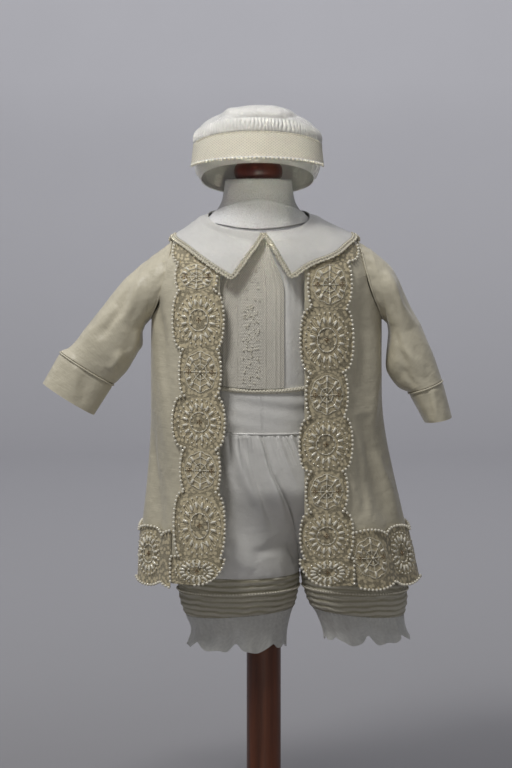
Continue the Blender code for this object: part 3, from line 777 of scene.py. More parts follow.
def cream_lace_material(name, colour, wear, lattice, across, along, tucks=0.0):
    """Cream lace worked in diamonds, of this many to the metre; where tucks is given, that many dark olive
    stripes to the metre are painted up it as painted shade between the tucks.
    """
    _, nodes, shader = new_material(name, colour, 0.6)
    place = nodes.uv()
    net = nodes.cells(place, 900.0, voronoi_dimensions="2D", feature="DISTANCE_TO_EDGE")
    worked = nodes.add("Group", {"Vector": place, "Across": across, "Along": along}, node_tree=lattice)
    solid = nodes.most(worked[0], nodes.times(nodes.spread(net, 0.16, 0.02), 0.45))
    height = nodes.maths("SUBTRACT", solid, worked[1])
    base = nodes.mix(solid, shade(colour, 0.86), shade(colour, 1.1))
    base = nodes.mix(worked[1], base, shade(colour, 0.7))
    # painted shade: dark olive stripes up the band, standing for the shadow between its tucks
    if tucks:
        spot = nodes.place()
        level = nodes.times(nodes.parts(spot)[2], tucks)
        level = nodes.plus(level, nodes.times(nodes.noise(spot, 26.0, 2.0), 1.6))
        tuck_shade = nodes.spread(nodes.maths("PINGPONG", level, 0.5), 0.2, 0.42)
        base = nodes.mix(nodes.times(tuck_shade, 0.7), base, (0.36, 0.32, 0.19, 1))
    finish_cloth(nodes, shader, wear, base, 0.6, 0.1, height, 0.25)


def organza_material(name, colour, wear):
    _, nodes, shader = new_material(name, colour, 0.4)
    weave = nodes.noise(nodes.uv(), 260.0, 3.0)
    base = nodes.mix(weave, shade(colour, 0.94), shade(colour, 1.08))
    finish_cloth(nodes, shader, wear, base, 0.4, 0.1, weave, 0.3)
    nodes.join(shader["Alpha"], nodes.spread(weave, 0.0, 1.0, 0.62, 0.88))


def jersey_material(name, colour, wear):
    _, nodes, shader = new_material(name, colour, 0.85)
    drawn = nodes.add("Mapping", {"Vector": nodes.place(), "Scale": (1.0, 1.0, 0.6)})[0]
    knit = nodes.cells(drawn, 900.0)
    base = nodes.mix(knit, shade(colour, 1.05), shade(colour, 0.88))
    finish_cloth(nodes, shader, wear, base, 0.85, 0.08, knit, 0.1)


def pearl_material(name, colour, rough, coat):
    _, nodes, shader = new_material(name, colour, rough)
    mottle = nodes.noise(nodes.place(), 240.0, 2.0)
    nodes.join(shader["Base Color"], nodes.mix(mottle, shade(colour, 0.82), shade(colour, 1.14)))
    nodes.join(shader["Roughness"], nodes.spread(mottle, 0.0, 1.0, rough - 0.08, rough + 0.1))
    nodes.join(shader["Normal"], nodes.bump(0.15, 0.0004, mottle))
    shader["Coat Weight"].default_value = coat


def wood_material(name, colour, rough, grain):
    """Turned or straight wood: long grain along the height, with fine pores."""
    _, nodes, shader = new_material(name, colour, rough)
    place = nodes.place()
    rings = nodes.noise(place, 1.0, 5.0, (grain, grain, grain * 0.07), 0.6)
    pore = nodes.noise(place, 1.0, 2.0, (900.0, 900.0, 40.0))
    base = nodes.mix(nodes.spread(rings, 0.35, 0.65), shade(colour, 0.55), shade(colour, 1.35))
    nodes.join(shader["Base Color"], nodes.mix(nodes.times(pore, 0.5), base, shade(colour, 0.45)))
    nodes.join(shader["Roughness"], nodes.spread(rings, 0.0, 1.0, rough - 0.1, rough + 0.12))
    nodes.join(shader["Normal"], nodes.bump(0.35, 0.0005, pore))
    shader["Coat Weight"].default_value = 0.25


# a slot name for each cloth, and the property that holds its thickness
SLOTS = {
    "suit_satin": ("satin", "satin_wall"),
    "collar_satin": ("satin", "satin_wall"),
    "coat_silk": ("silk", "silk_wall"),
    "champagne_lace": ("beaded_lace", "lace_wall"),
    "plastron_lace": ("cream_lace", "lace_wall"),
    "band_lace": ("cream_lace", "lace_wall"),
    "brim_lace": ("cream_lace", "lace_wall"),
    "frill_organza": ("organza", "organza_wall"),
    "bib_jersey": ("jersey", "jersey_wall"),
}


def finish(name):
    """The material of that name, with the whole set made on first use."""
    if name not in bpy.data.materials:
        look = bpy.context.scene.suit_look
        wear, slub, lattice = wear_group(), slub_group(), lattice_group()
        satin_material("suit_satin", look.satin, wear)
        # painted shade: the collar is the suit's satin, darkened here to 0.84 so that its upturned face
        # shows less light
        satin_material("collar_satin", shade(look.satin, 0.84)[:3], wear, 0.36, 0.07)
        silk_material("coat_silk", look.silk, wear, slub)
        net_lace_material("champagne_lace", look.lace, wear)
        cream_lace_material("plastron_lace", (0.84, 0.80, 0.70), wear, lattice, 420.0, 330.0)
        cream_lace_material("band_lace", look.cream, wear, lattice, 640.0, 380.0, 165.0)
        cream_lace_material("brim_lace", look.cream, wear, lattice, 260.0, 310.0)
        organza_material("frill_organza", look.organza, wear)
        jersey_material("form_jersey", look.jersey, wear)
        jersey_material("bib_jersey", (0.80, 0.80, 0.81), wear)
        pearl_material("pearl", look.pearl, 0.28, 0.5)
        pearl_material("brown_bead", look.bead, 0.24, 0.4)
        pearl_material("lace_cord", look.cream, 0.6, 0.0)
        wood_material("knob_wood", look.dark_wood, 0.32, 60.0)
        wood_material("pole_wood", look.pole_wood, 0.42, 90.0)
    return bpy.data.materials[name]


# ---------------------------------------------------------------- pieces


def sew(name, points, finish_name, nodes, cut, held, rests, share=None, lobes=None, **settings):
    """A piece of cloth on the body; its flat cut in metres and the share of that cut it covers are not used.
    """
    look = bpy.context.scene.suit_look
    slot, wall = SLOTS[finish_name]
    obj = cloth(name, points, getattr(look, wall), finish(finish_name), **settings)
    if lobes:
        lobe_uv(obj, *lobes)
    keep(obj, nodes, slot)
    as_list(rests)
    return obj


def grid_normals(points, closed=False):
    """Unit normals of a grid of points, from its own neighbours."""
    if closed:
        across = np.roll(points, -1, 1) - np.roll(points, 1, 1)
    else:
        across = np.gradient(points, axis=1)
    return unit(np.cross(across, np.gradient(points, axis=0)))


def grid(columns, rows, closed=False):
    """Shares across and up a grid; a closed one leaves out the last column."""
    us = np.arange(columns) / columns if closed else steps(columns)
    return np.meshgrid(us, steps(rows))


# ---------------------------------------------------------------- coat


def front_panel(side):
    u, v = grid(64, 130)
    top = neck_height(40 + 50 * u) - COAT_BELOW_NECK
    low = COAT_HEM + corner_rise(u * 90)
    height = low + (top - low) * v
    return coat_skin(side * front_angle(side, u, height), height)


def back_panel():
    u, v = grid(130, 120)
    half = 2 * u - 1
    top = neck_height(180 - 90 * np.abs(half)) - COAT_BELOW_NECK
    height = COAT_HEM + (top - COAT_HEM) * v
    side_angle = seam_angle(COAT_SECTIONS, height, ARMHOLE_RISE, ARMHOLE_DEPTH, True)
    return coat_skin(180 + (180 - side_angle) * half, height)


def armhole_ring(side, angle):
    """The body's surface round the armhole: angle 0 at the top, 90 in front."""
    turn = np.radians(angle)
    height = ARMHOLE_HEIGHT + ARMHOLE_RISE * np.cos(turn)
    depth = -ARMHOLE_DEPTH * np.sin(turn)
    left, right, front, back, square = rows_at(COAT_SECTIONS, height)
    share = np.abs(depth) / np.where(depth < 0, front, back)
    reach = (right + left) / 2 * (1 - share**square) ** (1 / square)
    return np.stack([(right - left) / 2 + side * (reach + 0.9), depth, height], -1)


def sleeve_points(rows, angle, along):
    """A sleeve's section is an oval between its outer and inner outline points."""
    outer_x, outer_z, inner_x, inner_z, y, deep = rows_at(rows, along)
    turn = np.radians(angle)
    out, up = np.cos(turn) * (outer_x - inner_x) / 2, np.cos(turn) * (outer_z - inner_z) / 2
    return np.stack(
        [(outer_x + inner_x) / 2 + out, y - deep * np.sin(turn), (outer_z + inner_z) / 2 + up], -1
    )


def sleeve_panel(side, rows, creases):
    u, v = grid(96, 84, closed=True)
    along = v * len(rows)
    start = armhole_ring(side, 360 * u)
    body = sleeve_points(rows, 360 * u, np.maximum(along - 1, 0))
    first = np.clip(along, 0, 1)[..., None]
    points = start + (body - start) * first
    normal = grid_normals(points, closed=True) * -side
    easing = 0.9 * ridge(along, 0.35, 0.3) * np.sin(TAU * 17 * u + 2 * np.sin(9 * u))
    easing *= 0.6 + 0.4 * np.cos(TAU * u)
    moved = [(x0 + 6, z0 - 6, x1, z1, w, d * 0.8) for x0, z0, x1, z1, w, d in creases]
    slack = 0.7 * wave(2.1 * v + 1.3 * u) * np.sin(math.pi * v)
    push = crease_push(points, creases) + crease_push(points, moved, True) + easing + slack
    return points + normal * push[..., None]


def cuff_panel(side, rows):
    u, v = grid(96, 26, closed=True)
    points = sleeve_points(rows, 360 * u, v)
    normal = grid_normals(points, closed=True) * -side
    fold = 1.6 * ridge(u - 0.06 * v, 0.27, 0.035) - 1.5 * ridge(u - 0.08 * v, 0.2, 0.03)
    fold += 1.2 * ridge(u + 0.05 * v, 0.74, 0.04)
    swell = 0.8 * ridge(v, 0.04, 0.05)
    return points + normal * (fold * np.sin(math.pi * np.clip(v + 0.1, 0, 1)) + swell)[..., None]


def lace_outline(lobes, height):
    """Left and right x of a scalloped front lace at these heights."""
    side = math.copysign(1, lobes[-1][2])
    inner = side * (LACE_INNER + corner_rise(height - HEM_LACE_LOW))
    outer = side * LACE_CORNER + 0 * height
    left, right = np.minimum(inner, outer), np.maximum(inner, outer)
    for top, bottom, middle, half in reversed(lobes):
        within = (height >= bottom - 1) & (height <= top + 2)
        place = np.clip(np.abs(2 * (height - bottom) / (top - bottom) - 1), 0, 1)
        reach = half * (0.74 + 0.26 * np.sqrt(1 - place * place))
        left, right = np.where(within, middle - reach, left), np.where(within, middle + reach, right)
    return left, right


def lace_skin(x, height, lift=LACE_LIFT):
    return coat_skin(angle_at_x(COAT_SECTIONS, height, x), height, lift)


def hem_lace_low(angle):
    return HEM_LACE_LOW - 6 * np.abs(np.sin(np.radians(angle * SCALLOPS_PER_DEGREE)))


def front_lobes(lobes):
    """The scallops of a front lace: middle, height, half sizes, and whether each is a sun."""
    side = math.copysign(1, lobes[-1][2])
    found = [
        (middle, (top + bottom) / 2, half * 0.9, (top - bottom) / 2, half > 25)
        for top, bottom, middle, half in lobes[1:]
    ]
    return found + [(side * 69, 303.0, 25.0, 13.0, True)]


def hem_lobes(low_angle, high_angle):
    """The scallops of the hem's lace: middle angle and height, half angle and half height."""
    width = 180 / SCALLOPS_PER_DEGREE
    middles = [(k, width * (k + 0.5)) for k in range(13)]
    return [
        (middle, HEM_LOBE_HEIGHT, width * 0.42, 25.0, k % 2 == 0)
        for k, middle in middles
        if low_angle < middle < high_angle
    ]


def spot_on(lobe, skin, half):
    """The surface of one scallop, from -1 to 1 both ways, and its half width and half height."""
    middle, height, reach, tall, _ = lobe

    def spot(a, b, lift=LACE_LIFT):
        return skin(middle + reach * a, height + tall * b, lift)

    return spot, half, tall


def facing_at(spot, a, b):
    """Normals and the two directions of a lobe's surface at these places."""
    step = 0.02
    across = spot(a + step, b) - spot(a - step, b)
    along = spot(a, b + step) - spot(a, b - step)
    return unit(np.cross(across, along)), unit(across), unit(along)


def beads_in_lobe(spot, half, tall, wide, pearls, browns):
    """Rice pearls laid like rays and brown beads at the middle or at the sides of one scallop."""

    def place(a, b, angle, size, into):
        a, b, angle = np.asarray(a, float), np.asarray(b, float), np.asarray(angle, float)
        normal, across, along = facing_at(spot, a, b)
        direction = across * np.cos(angle)[..., None] + along * np.sin(angle)[..., None]
        into.append((spot(a, b), normal, direction, size))

    if wide:
        turns = np.arange(16) / 16 * TAU + 0.2
        a, b = 0.62 * np.cos(turns), 0.66 * np.sin(turns)
        place(a, b, np.arctan2(b * tall, a * half), (7.6, 3.0), pearls)
        rim = np.arange(26) / 26 * TAU
        place(0.9 * np.cos(rim), 0.9 * np.sin(rim), 0 * rim, (2.1, 2.1), pearls)
        turns = turns + TAU / 32
        a, b = 0.36 * np.cos(turns), 0.40 * np.sin(turns)
        place(a[::2], b[::2], 0 * a[::2], (2.2, 2.2), pearls)
        rows = [(k, j) for k in range(-1, 2) for j in range(-1, 2) if abs(k) + abs(j) < 2]
        a = np.array([k for k, _ in rows]) * 2.0 / half
        b = np.array([j for _, j in rows]) * 2.0 / tall
        place(a, b, 0 * a, (1.7, 1.7), browns)
    else:
        for way in (-1, 1):
            a = way * (0.62 + np.array([0, 0.1, 0, -0.1, 0]))
            b = np.array([0, 0, 1, 0, -1]) * 2.0 / tall
            place(a, b, 0 * a, (1.8, 1.8), browns)
        turns = np.radians([24, 48, 90, 132, 156, 204, 228, 270, 312, 336])
        a, b = 0.66 * np.cos(turns), 0.70 * np.sin(turns)
        place(a, b, np.arctan2(b * tall, a * half), (6.6, 2.7), pearls)
        place([0.0], [0.0], [0.0], (3.2, 3.2), pearls)


def cords_in_lobe(spot, wide, paths):
    """Raised threads: an oval and petals in a wide scallop, a web in a narrow one."""
    turns = np.arange(36) / 36 * TAU
    if wide:
        paths.append(spot(0.40 * np.cos(turns), 0.40 * np.sin(turns), LACE_LIFT + 0.5))
        petal = 0.64 + 0.12 * np.cos(7 * turns)
        paths.append(spot(petal * np.cos(turns), petal * np.sin(turns), LACE_LIFT + 0.4))
        return
    for reach in (0.34, 0.62, 0.88):
        sag = reach * (0.9 + 0.1 * np.abs(np.cos(4 * turns)))
        paths.append(spot(sag * np.cos(turns), sag * np.sin(turns), LACE_LIFT + 0.4))
    for k in range(8):
        turn, reach = k * TAU / 8, np.append(steps(6, 0.12, 0.9), steps(6, 0.9, 0.12) + 0.001)
        paths.append(spot(reach * math.cos(turn), reach * math.sin(turn), LACE_LIFT + 0.4))


def every(points, gap):
    """Points at even distances along a row of points."""
    lengths = np.append(0, np.cumsum(np.linalg.norm(np.diff(points, axis=0), axis=1)))
    marks = np.arange(gap / 2, lengths[-1], gap)
    return np.stack([np.interp(marks, lengths, points[:, k]) for k in range(3)], -1)


def edge_beads(points, inward, gap, size):
    """A row of beads along a line of points; inward gives the facing at each."""
    spots = every(points, gap)
    near = np.argmin(np.linalg.norm(spots[:, None] - points[None], axis=-1), 1)
    return spots, inward[near], unit(np.gradient(spots, axis=0)), (size, size)


def make_coat():
    hung = ["form_cover"]
    for side, tag in ((-1, "left"), (1, "right")):
        nodes, cut = [f"coat_front_{tag}"], (0.14, 0.385)
        panel = front_panel(side)
        sew(f"silk_front_{tag}", panel, "coat_silk", nodes, cut, "hung", hung, 0.83, flip=side < 0)
    sew("silk_back", back_panel(), "coat_silk", ["coat_back"], (0.37, 0.385), "hung", hung, 0.9)
    paths = []
    for tag, side, sleeve_rows, cuff_rows, creases in (
        ("left", -1, SLEEVE_LEFT, CUFF_LEFT, SLEEVE_CREASES_LEFT),
        ("right", 1, SLEEVE_RIGHT, CUFF_RIGHT, SLEEVE_CREASES_RIGHT),
    ):
        shape = {"closed": True, "flip": side < 0}
        points, nodes = sleeve_panel(side, sleeve_rows, creases), [f"coat_sleeve_{tag}"]
        rests = [f"silk_front_{tag}", "silk_back"]
        sew(f"silk_sleeve_{tag}", points, "coat_silk", nodes, (0.18, 0.14), "hung", rests, **shape)
        points, nodes = cuff_panel(side, cuff_rows), [f"coat_cuff_{tag}"]
        rests = [f"silk_sleeve_{tag}"]
        sew(f"silk_cuff_{tag}", points, "coat_silk", nodes, (0.16, 0.045), "hung", rests, **shape)
        turns = 360 * np.arange(96) / 96
        paths.append(sleeve_points(cuff_rows, turns, np.zeros(96) + 0.02))
        paths.append(armhole_ring(side, turns) + np.array([side * 0.4, 0, 0]))
    keep(cord_mesh("coat_piping", paths, 1.15, finish("coat_silk")), [], "silk")


def work_lobes(lobes, spots, pearls, browns, paths):
    """Lays the beads and cords of these scallops."""
    for lobe, (spot, half, tall) in zip(lobes, spots):
        beads_in_lobe(spot, half, tall, lobe[4], pearls, browns)
        cords_in_lobe(spot, lobe[4], paths)


def make_lace():
    look = bpy.context.scene.suit_look
    pearls, browns, paths = [], [], []
    gap, size = look.pearl_gap / MM, look.pearl_size / MM
    for tag, lobes in (("left", LOBES_LEFT), ("right", LOBES_RIGHT)):
        heights = np.append(np.arange(HEM_LACE_LOW, lobes[0][0], 1.7), lobes[0][0])
        u, height = np.meshgrid(steps(26), heights)
        left, right = lace_outline(lobes, height)
        x = left + (right - left) * u
        points, worked = lace_skin(x, height), front_lobes(lobes)
        nodes, rests = [f"coat_lace_front_{tag}"], [f"silk_front_{tag}"]
        places = ([lobe[:4] for lobe in worked],)
        cut = (0.056, 0.365)
        sew(f"lace_front_{tag}", points, "champagne_lace", nodes, cut, "draped", rests, lobes=places)
        normal = facing(coat_base, angle_at_x(COAT_SECTIONS, height, x), height)
        for column, way in ((0, 1), (-1, -1)):
            inner = way * lobes[0][2] > 0
            bare = height[:, column] < (BARE_INNER if inner else BARE_OUTER)
            pearls.append(edge_beads(points[bare, column], normal[bare, column], gap, size))
        spots = [spot_on(lobe, lace_skin, lobe[2]) for lobe in worked]
        work_lobes(worked, spots, pearls, browns, paths)
    corner = float(angle_at_x(COAT_SECTIONS, HEM_LOBE_HEIGHT, LACE_CORNER + CORNER_SEAM))
    left_corner = float(angle_at_x(COAT_SECTIONS, HEM_LOBE_HEIGHT, -(LACE_CORNER + CORNER_SEAM)))
    left_lobes = [(-middle, *rest) for middle, *rest in hem_lobes(60, 80)]
    side = 90 - SEAM_ANGLE
    for tag, low_angle, high_angle, lobes, wide, rests in (
        ("left", -side, left_corner, left_lobes, 0.082, "silk_front_left"),
        ("back", 90.2, 269.8, hem_lobes(91, 269), 0.42, "silk_back"),
        ("right", corner, side, hem_lobes(corner, side), 0.118, "silk_front_right"),
    ):
        u, v = grid(int((high_angle - low_angle) * 1.4), 30)
        angle = low_angle + (high_angle - low_angle) * u
        low = hem_lace_low(angle)
        scallop = np.abs(np.sin(np.radians(angle * SCALLOPS_PER_DEGREE))) ** 0.6
        height = low + (HEM_LACE_TOP - 8 + 8 * scallop - low) * v
        points = coat_skin(angle, height, LACE_LIFT)
        places = ([lobe[:4] for lobe in lobes], (low_angle, high_angle, HEM_LOBE_HEIGHT))
        nodes, name, cut = [f"coat_lace_hem_{tag}"], f"lace_hem_{tag}", (wide, 0.062)
        sew(name, points, "champagne_lace", nodes, cut, "draped", [rests], lobes=places)
        normal = facing(coat_base, angle, height)
        for row in (0, -1):
            pearls.append(edge_beads(points[row], normal[row], gap, size))
        spots = [spot_on(lobe, coat_skin, math.radians(lobe[2]) * 138) for lobe in lobes]
        work_lobes(lobes, spots, pearls, browns, paths)
    keep(bead_mesh("coat_pearls", pearls, finish("pearl")), [], "beaded_lace")
    keep(bead_mesh("coat_brown_beads", browns, finish("brown_bead")), [], "beaded_lace")
    keep(cord_mesh("coat_lace_cords", paths, 0.45, finish("lace_cord"), sides=5), [], "beaded_lace")


def lobe_uv(obj, lobes, turned=None):
    """Each point's place within the nearest scallop, from -1 to 1 both ways, in a second map."""
    mesh = obj.data
    points = np.zeros(len(mesh.vertices) * 3)
    mesh.vertices.foreach_get("co", points)
    points = points.reshape(-1, 3) / MM
    across, height = points[:, 0], points[:, 2]
    if turned:
        left, right, front, back, _ = rows_at(COAT_SECTIONS, height)
        deep = -points[:, 1] * (right + left) / (front + back)
        turn = np.degrees(np.arctan2(points[:, 0] - (right - left) / 2, deep))
        across = np.where((turn < 0) & (turned[1] > 95), turn + 360, turn)
    local, best = np.zeros((len(points), 2)), np.full(len(points), 1e9)
    for middle, level, half, tall in lobes:
        a, b = (across - middle) / half, (height - level) / tall
        reach = np.maximum(np.abs(a), np.abs(b))
        nearer = reach < best
        best = np.where(nearer, reach, best)
        local[nearer] = np.stack([a, b], -1)[nearer]
    point_uv(mesh, "lobe", local)


# ---------------------------------------------------------------- one-piece


def leg_points(rows, u, height):
    """A half of the knickers above the crotch, and once round the leg from the inseam below it."""
    inner, outer, front, back = rows_at(rows, height)
    low = 1 - smooth((height - CROTCH_LOW) / (CROTCH_TOP - CROTCH_LOW))
    half_turn, full_turn = math.pi * u, TAU * u
    depth = np.where(u < 0.5, front, back)
    bulge = np.clip(np.sin(half_turn), 0, 1) ** 0.9
    upper = np.stack([inner + (outer - inner) * bulge, -depth * np.cos(half_turn), height], -1)
    across = (inner + outer) / 2 - (outer - inner) / 2 * np.cos(full_turn)
    lower = np.stack([across, -depth * np.sin(full_turn), height], -1)
    return upper + (lower - upper) * low[..., None]


def away_from_leg(rows, points):
    inner, outer, _, _ = rows_at(rows, points[..., 2])
    away = points - np.stack([(inner + outer) / 2, 0 * inner, points[..., 2]], -1)
    return unit(away)


def knicker_panel(rows, seed):
    u, v = grid(176, 96)
    u = 0.002 + 0.996 * (u - 0.11 * np.sin(TAU * u))
    low = LEG_BAND_TOP + 0.3
    height = low + (WAIST_SEAM - low) * v
    points = leg_points(rows, u, height)
    meeting = ridge(0.5 - np.abs(u - 0.5), 0, 0.05) * smooth((height - CROTCH_LOW) / 40)
    points[..., 0] += (1.4 if rows is LEG_LEFT else -1.4) * meeting
    away = away_from_leg(rows, points)
    dice = np.random.default_rng(seed)
    push = 1.4 * np.sin(math.pi * v)
    for k in range(22):
        place = (k + 0.5 + dice.uniform(-0.3, 0.3)) / 22
        long, deep = dice.uniform(0.2, 0.6), dice.uniform(1.6, 3.6)
        lean = dice.uniform(-0.05, 0.05)
        fade = np.clip(1 - (1 - v) / long, 0, 1) ** 1.4 * smooth((1 - v) / 0.03 + 0.25)
        push = push + deep * fade * ridge(u - lean * (1 - v), place, 0.011)
        low_place = (k + 0.5 + dice.uniform(-0.4, 0.4)) / 22
        fade = np.clip(1 - v / dice.uniform(0.08, 0.26), 0, 1) ** 1.3 * smooth(v / 0.02 + 0.3)
        push = push + dice.uniform(0.7, 1.7) * fade * ridge(u, low_place, 0.012)
    for k in range(20):
        place = (k % 10 + 0.5 + dice.uniform(-0.35, 0.35)) / 10 * 0.15 + 0.008
        place = place if k < 10 else 1 - place
        long, deep = dice.uniform(0.14, 0.42), dice.uniform(1.3, 3.2)
        fade = np.clip(1 - (1 - v) / long, 0, 1) ** 1.2 * smooth((1 - v) / 0.03 + 0.3)
        push = push + deep * fade * ridge(u, place, dice.uniform(0.004, 0.007))
    push = push + crease_push(points, KNICKER_CREASES)
    behind = [
        (x0 * 0.9 + 8, z0, x1 * 0.9 - 6, z1, w, d * 0.8) for x0, z0, x1, z1, w, d in KNICKER_CREASES
    ]
    push = push + crease_push(points, behind, True)
    push = push * smooth(v / 0.02 + 0.2) * smooth(u / 0.02 + 0.1) * smooth((1 - u) / 0.02 + 0.1)
    return points + away * push[..., None]


def band_low(u):
    return LEG_BAND_LOW + 9 * np.cos(math.pi * u) ** 2


def band_panel(rows):
    u, v = grid(150, 66)
    u = 0.002 + 0.996 * u
    low = band_low(u)
    points = leg_points(rows, u, low + (LEG_BAND_TOP - low) * v)
    shift = 0.018 * np.sin(TAU * 5 * u + 1) + 0.012 * np.sin(TAU * 13 * u)
    tucks = np.abs(np.sin(math.pi * 6 * (v + shift))) ** 0.7
    wander = 0.3 * np.sin(TAU * 37 * u + 5 * v) * tucks
    return points + away_from_leg(rows, points) * (2.0 * tucks + wander - 0.9)[..., None]


def frill_panel(rows, seed):
    u, v = grid(260, 26)
    u = 0.002 + 0.996 * u
    dice = np.random.default_rng(seed)
    top = band_low(u) - 0.3
    hem = FRILL_HEM + (0 if rows is LEG_LEFT else 8)
    hem = hem + 2 * np.sin(6 * math.pi * u) + 1.5 * np.sin(22 * math.pi * u + seed)
    for notch, rise in ((0.263, 12), (0.40, 5), (0.74, 9), (0.12, 4)):
        hem = hem + rise * ridge(u, notch, 0.02)
    points = leg_points(rows, u, hem + (top - hem) * v)
    outside = np.clip(-np.cos(TAU * u), 0, 1)
    flare = (1 - v) * (1 + 5 * outside)
    for k in range(17):
        place, deep = (k + dice.uniform(0.2, 0.8)) / 17, dice.uniform(1.2, 3.4)
        flare = flare + (1 - v) ** 0.8 * deep * ridge(u, place, dice.uniform(0.011, 0.02))
    gather = 0.5 * np.sin(TAU * 60 * u) * np.exp(-(1 - v) * 5)
    return points + away_from_leg(rows, points) * (flare + gather)[..., None]


def bodice_panel(behind):
    u, v = grid(90, 90)
    middle = 180 if behind else 0
    half = 2 * u - 1
    low = seam_height(middle + np.abs(half) * 90)
    top = neck_height(middle + np.abs(half) * 90) - BODICE_BELOW_NECK
    height = low + (top - low) * v
    reach = seam_angle(BODICE_SECTIONS, height, BODICE_ARMHOLE_RISE, BODICE_ARMHOLE_DEPTH, behind)
    reach = 180 - reach if behind else reach
    points = bodice_base(middle + reach * half, height)
    pleats = ((27, 1.8), (33, 1.4), (40, 1.6), (-50, 1.6), (-57, 1.2))
    ahead = [(x, 645, x + 3, 500, 2.4, depth) for x, depth in pleats]
    ahead += [(-86, 520, -58, 548, 7, -1.4), (60, 560, 84, 520, 8, -1.6), (52, 620, 72, 590, 6, 1.0)]
    after = [(-40, 500, -52, 600, 8, 1.4), (46, 500, 40, 590, 9, -1.4)]
    push = crease_push(points, ahead) + crease_push(points, after, True)
    return points + grid_normals(points) * push[..., None]


def plastron_points(u, v, lift=0.0):
    across = PLASTRON_LEFT + (PLASTRON_RIGHT - PLASTRON_LEFT) * u
    low = seam_height(angle_at_x(BODICE_SECTIONS, BODICE_SEAM + 0 * across, across)) + 4
    height = low + (655 - low) * v
    narrowing = 1 - 0.55 * smooth((height - 600) / 60)
    x = -8 + (across + 8) * narrowing
    angle = angle_at_x(BODICE_SECTIONS, height, x)
    return bodice_base(angle, height) + facing(bodice_base, angle, height) * (2.1 + lift)[..., None]


def plastron_panel():
    u, v = grid(110, 170)
    centre = ridge(u, 0.49, 0.19, 6)
    ruching = 0.5 * np.abs(np.sin(math.pi * (46 * v + 0.35 * np.sin(9 * u + 14 * v)))) * centre
    tucks = 0.0
    for place in (0.05, 0.12, 0.86, 0.93):
        tucks = tucks + 0.6 * ridge(u, place, 0.014)
    ladder = 0.7 * (ridge(u, 0.27, 0.008) + ridge(u, 0.71, 0.008))
    return plastron_points(u, v, 0.9 * centre * 0.6 + ruching + tucks + ladder)


def make_one_piece():
    satin, cord, form = finish("suit_satin"), finish("lace_cord"), ["form_cover"]
    for behind, tag in ((False, "front"), (True, "back")):
        nodes, name, cut = [f"bodice_{tag}"], f"satin_bodice_{tag}", (0.25, 0.175)
        sew(name, bodice_panel(behind), "suit_satin", nodes, cut, "hung", form, 0.85)
    u, v = grid(160, 30, closed=True)
    angle = 360 * u
    height = WAIST_SEAM + 0.3 + (seam_height(angle) - 0.3 - WAIST_SEAM) * v
    points = bodice_base(angle, height)
    drag = 0.9 * wave(1.4 * v + 3 * u) + 0.7 * np.sin(TAU * (2.3 * v + 5 * u) + 1)
    drag = drag * np.sin(math.pi * v)
    points = points + grid_normals(points, closed=True) * (drag + 0.8 * np.sin(math.pi * v))[..., None]
    nodes, cut = ["waistband"], (0.49, 0.065)
    sew("satin_waistband", points, "suit_satin", nodes, cut, "stretched", form, 1.0, closed=True)
    turns = 360 * np.arange(180) / 180
    upper = bodice_base(turns, seam_height(turns)) * np.array([1.012, 1.012, 1])
    lower = bodice_base(turns, WAIST_SEAM + 0.4 + 0 * turns) * np.array([1.016, 1.016, 1])
    keep(cord_mesh("waist_piping", [upper, lower], 1.1, satin), [], "satin")

    nodes, cut, rests = ["plastron"], (0.068, 0.165), ["satin_bodice_front"]
    sew("plastron_panel", plastron_panel(), "plastron_lace", nodes, cut, "stretched", rests, 0.95)
    angles = np.linspace(-50, 54, 340)
    strands = []
    for phase in (0, TAU / 3, 2 * TAU / 3):
        swing = angles * 0.95 + phase
        height = seam_height(angles) + 1.0 + 1.7 * np.sin(swing)
        normal = facing(bodice_base, angles, height)
        strands.append(bodice_base(angles, height) + normal * (1.6 + 0.7 * np.cos(2 * swing))[..., None])
    braid = cord_mesh("plastron_cord", strands, 0.95, cord, closed=False)
    keep(braid, ["plastron_braid"], "cream_lace")
    dice = np.random.default_rng(5)
    across, up = dice.uniform(0.36, 0.62, 150), dice.uniform(0.02, 0.98, 150)
    places = plastron_points(across, up, 1.0 + 0 * across)
    angle = angle_at_x(BODICE_SECTIONS, places[:, 2], places[:, 0])
    normal = facing(bodice_base, angle, places[:, 2])
    sequins = [(places, normal, np.tile([1.0, 0, 0], (150, 1)), (1.7, 1.3))]
    keep(bead_mesh("plastron_sequins", sequins, finish("pearl")), [], "cream_lace")

    beads = []
    for tag, side, rows, seed in (("left", -1, LEG_LEFT, 11), ("right", 1, LEG_RIGHT, 23)):
        flip = side < 0
        name, points, rests = f"satin_leg_{tag}", knicker_panel(rows, seed), ["satin_waistband"]
        nodes, cut = [f"knickers_{tag}"], (0.32, 0.165)
        sew(name, points, "suit_satin", nodes, cut, "gathered", rests, 0.98, flip=flip)
        name, points, rests = f"tucked_band_{tag}", band_panel(rows), [name]
        nodes, cut = [f"leg_lace_{tag}"], (0.31, 0.06)
        sew(name, points, "band_lace", nodes, cut, "stretched", rests, 0.95, flip=flip)
        beads.append(edge_beads(points[BEADED_TUCK], away_from_leg(rows, points[BEADED_TUCK]), 3.4, 2.4))
        nodes, cut = [f"leg_frill_{tag}"], (0.34, 0.042)
        frill, points = f"organza_frill_{tag}", frill_panel(rows, seed)
        sew(frill, points, "frill_organza", nodes, cut, "gathered", [name], 0.9, flip=flip)
    keep(bead_mesh("band_beads", beads, finish("pearl")), [], "cream_lace")


def collar_points(side, ribs, u, v, lift=0.0):
    table = [(k / (len(ribs) - 1), *rib) for k, rib in enumerate(ribs)]
    neck_angle, outer_angle, outer_height = rows_at(table, u)
    start = neck_height(neck_angle) + 1
    angle = side * (neck_angle + (outer_angle - neck_angle) * v)
    height = start + (outer_height - start) * v
    rise = 0.4 + (COLLAR_LIFT - 0.4) * smooth(v / 0.3) + 0.7 * smooth((v - 0.7) / 0.3) + lift
    return coat_base(angle, height) + facing(coat_base, angle, height) * rise[..., None]


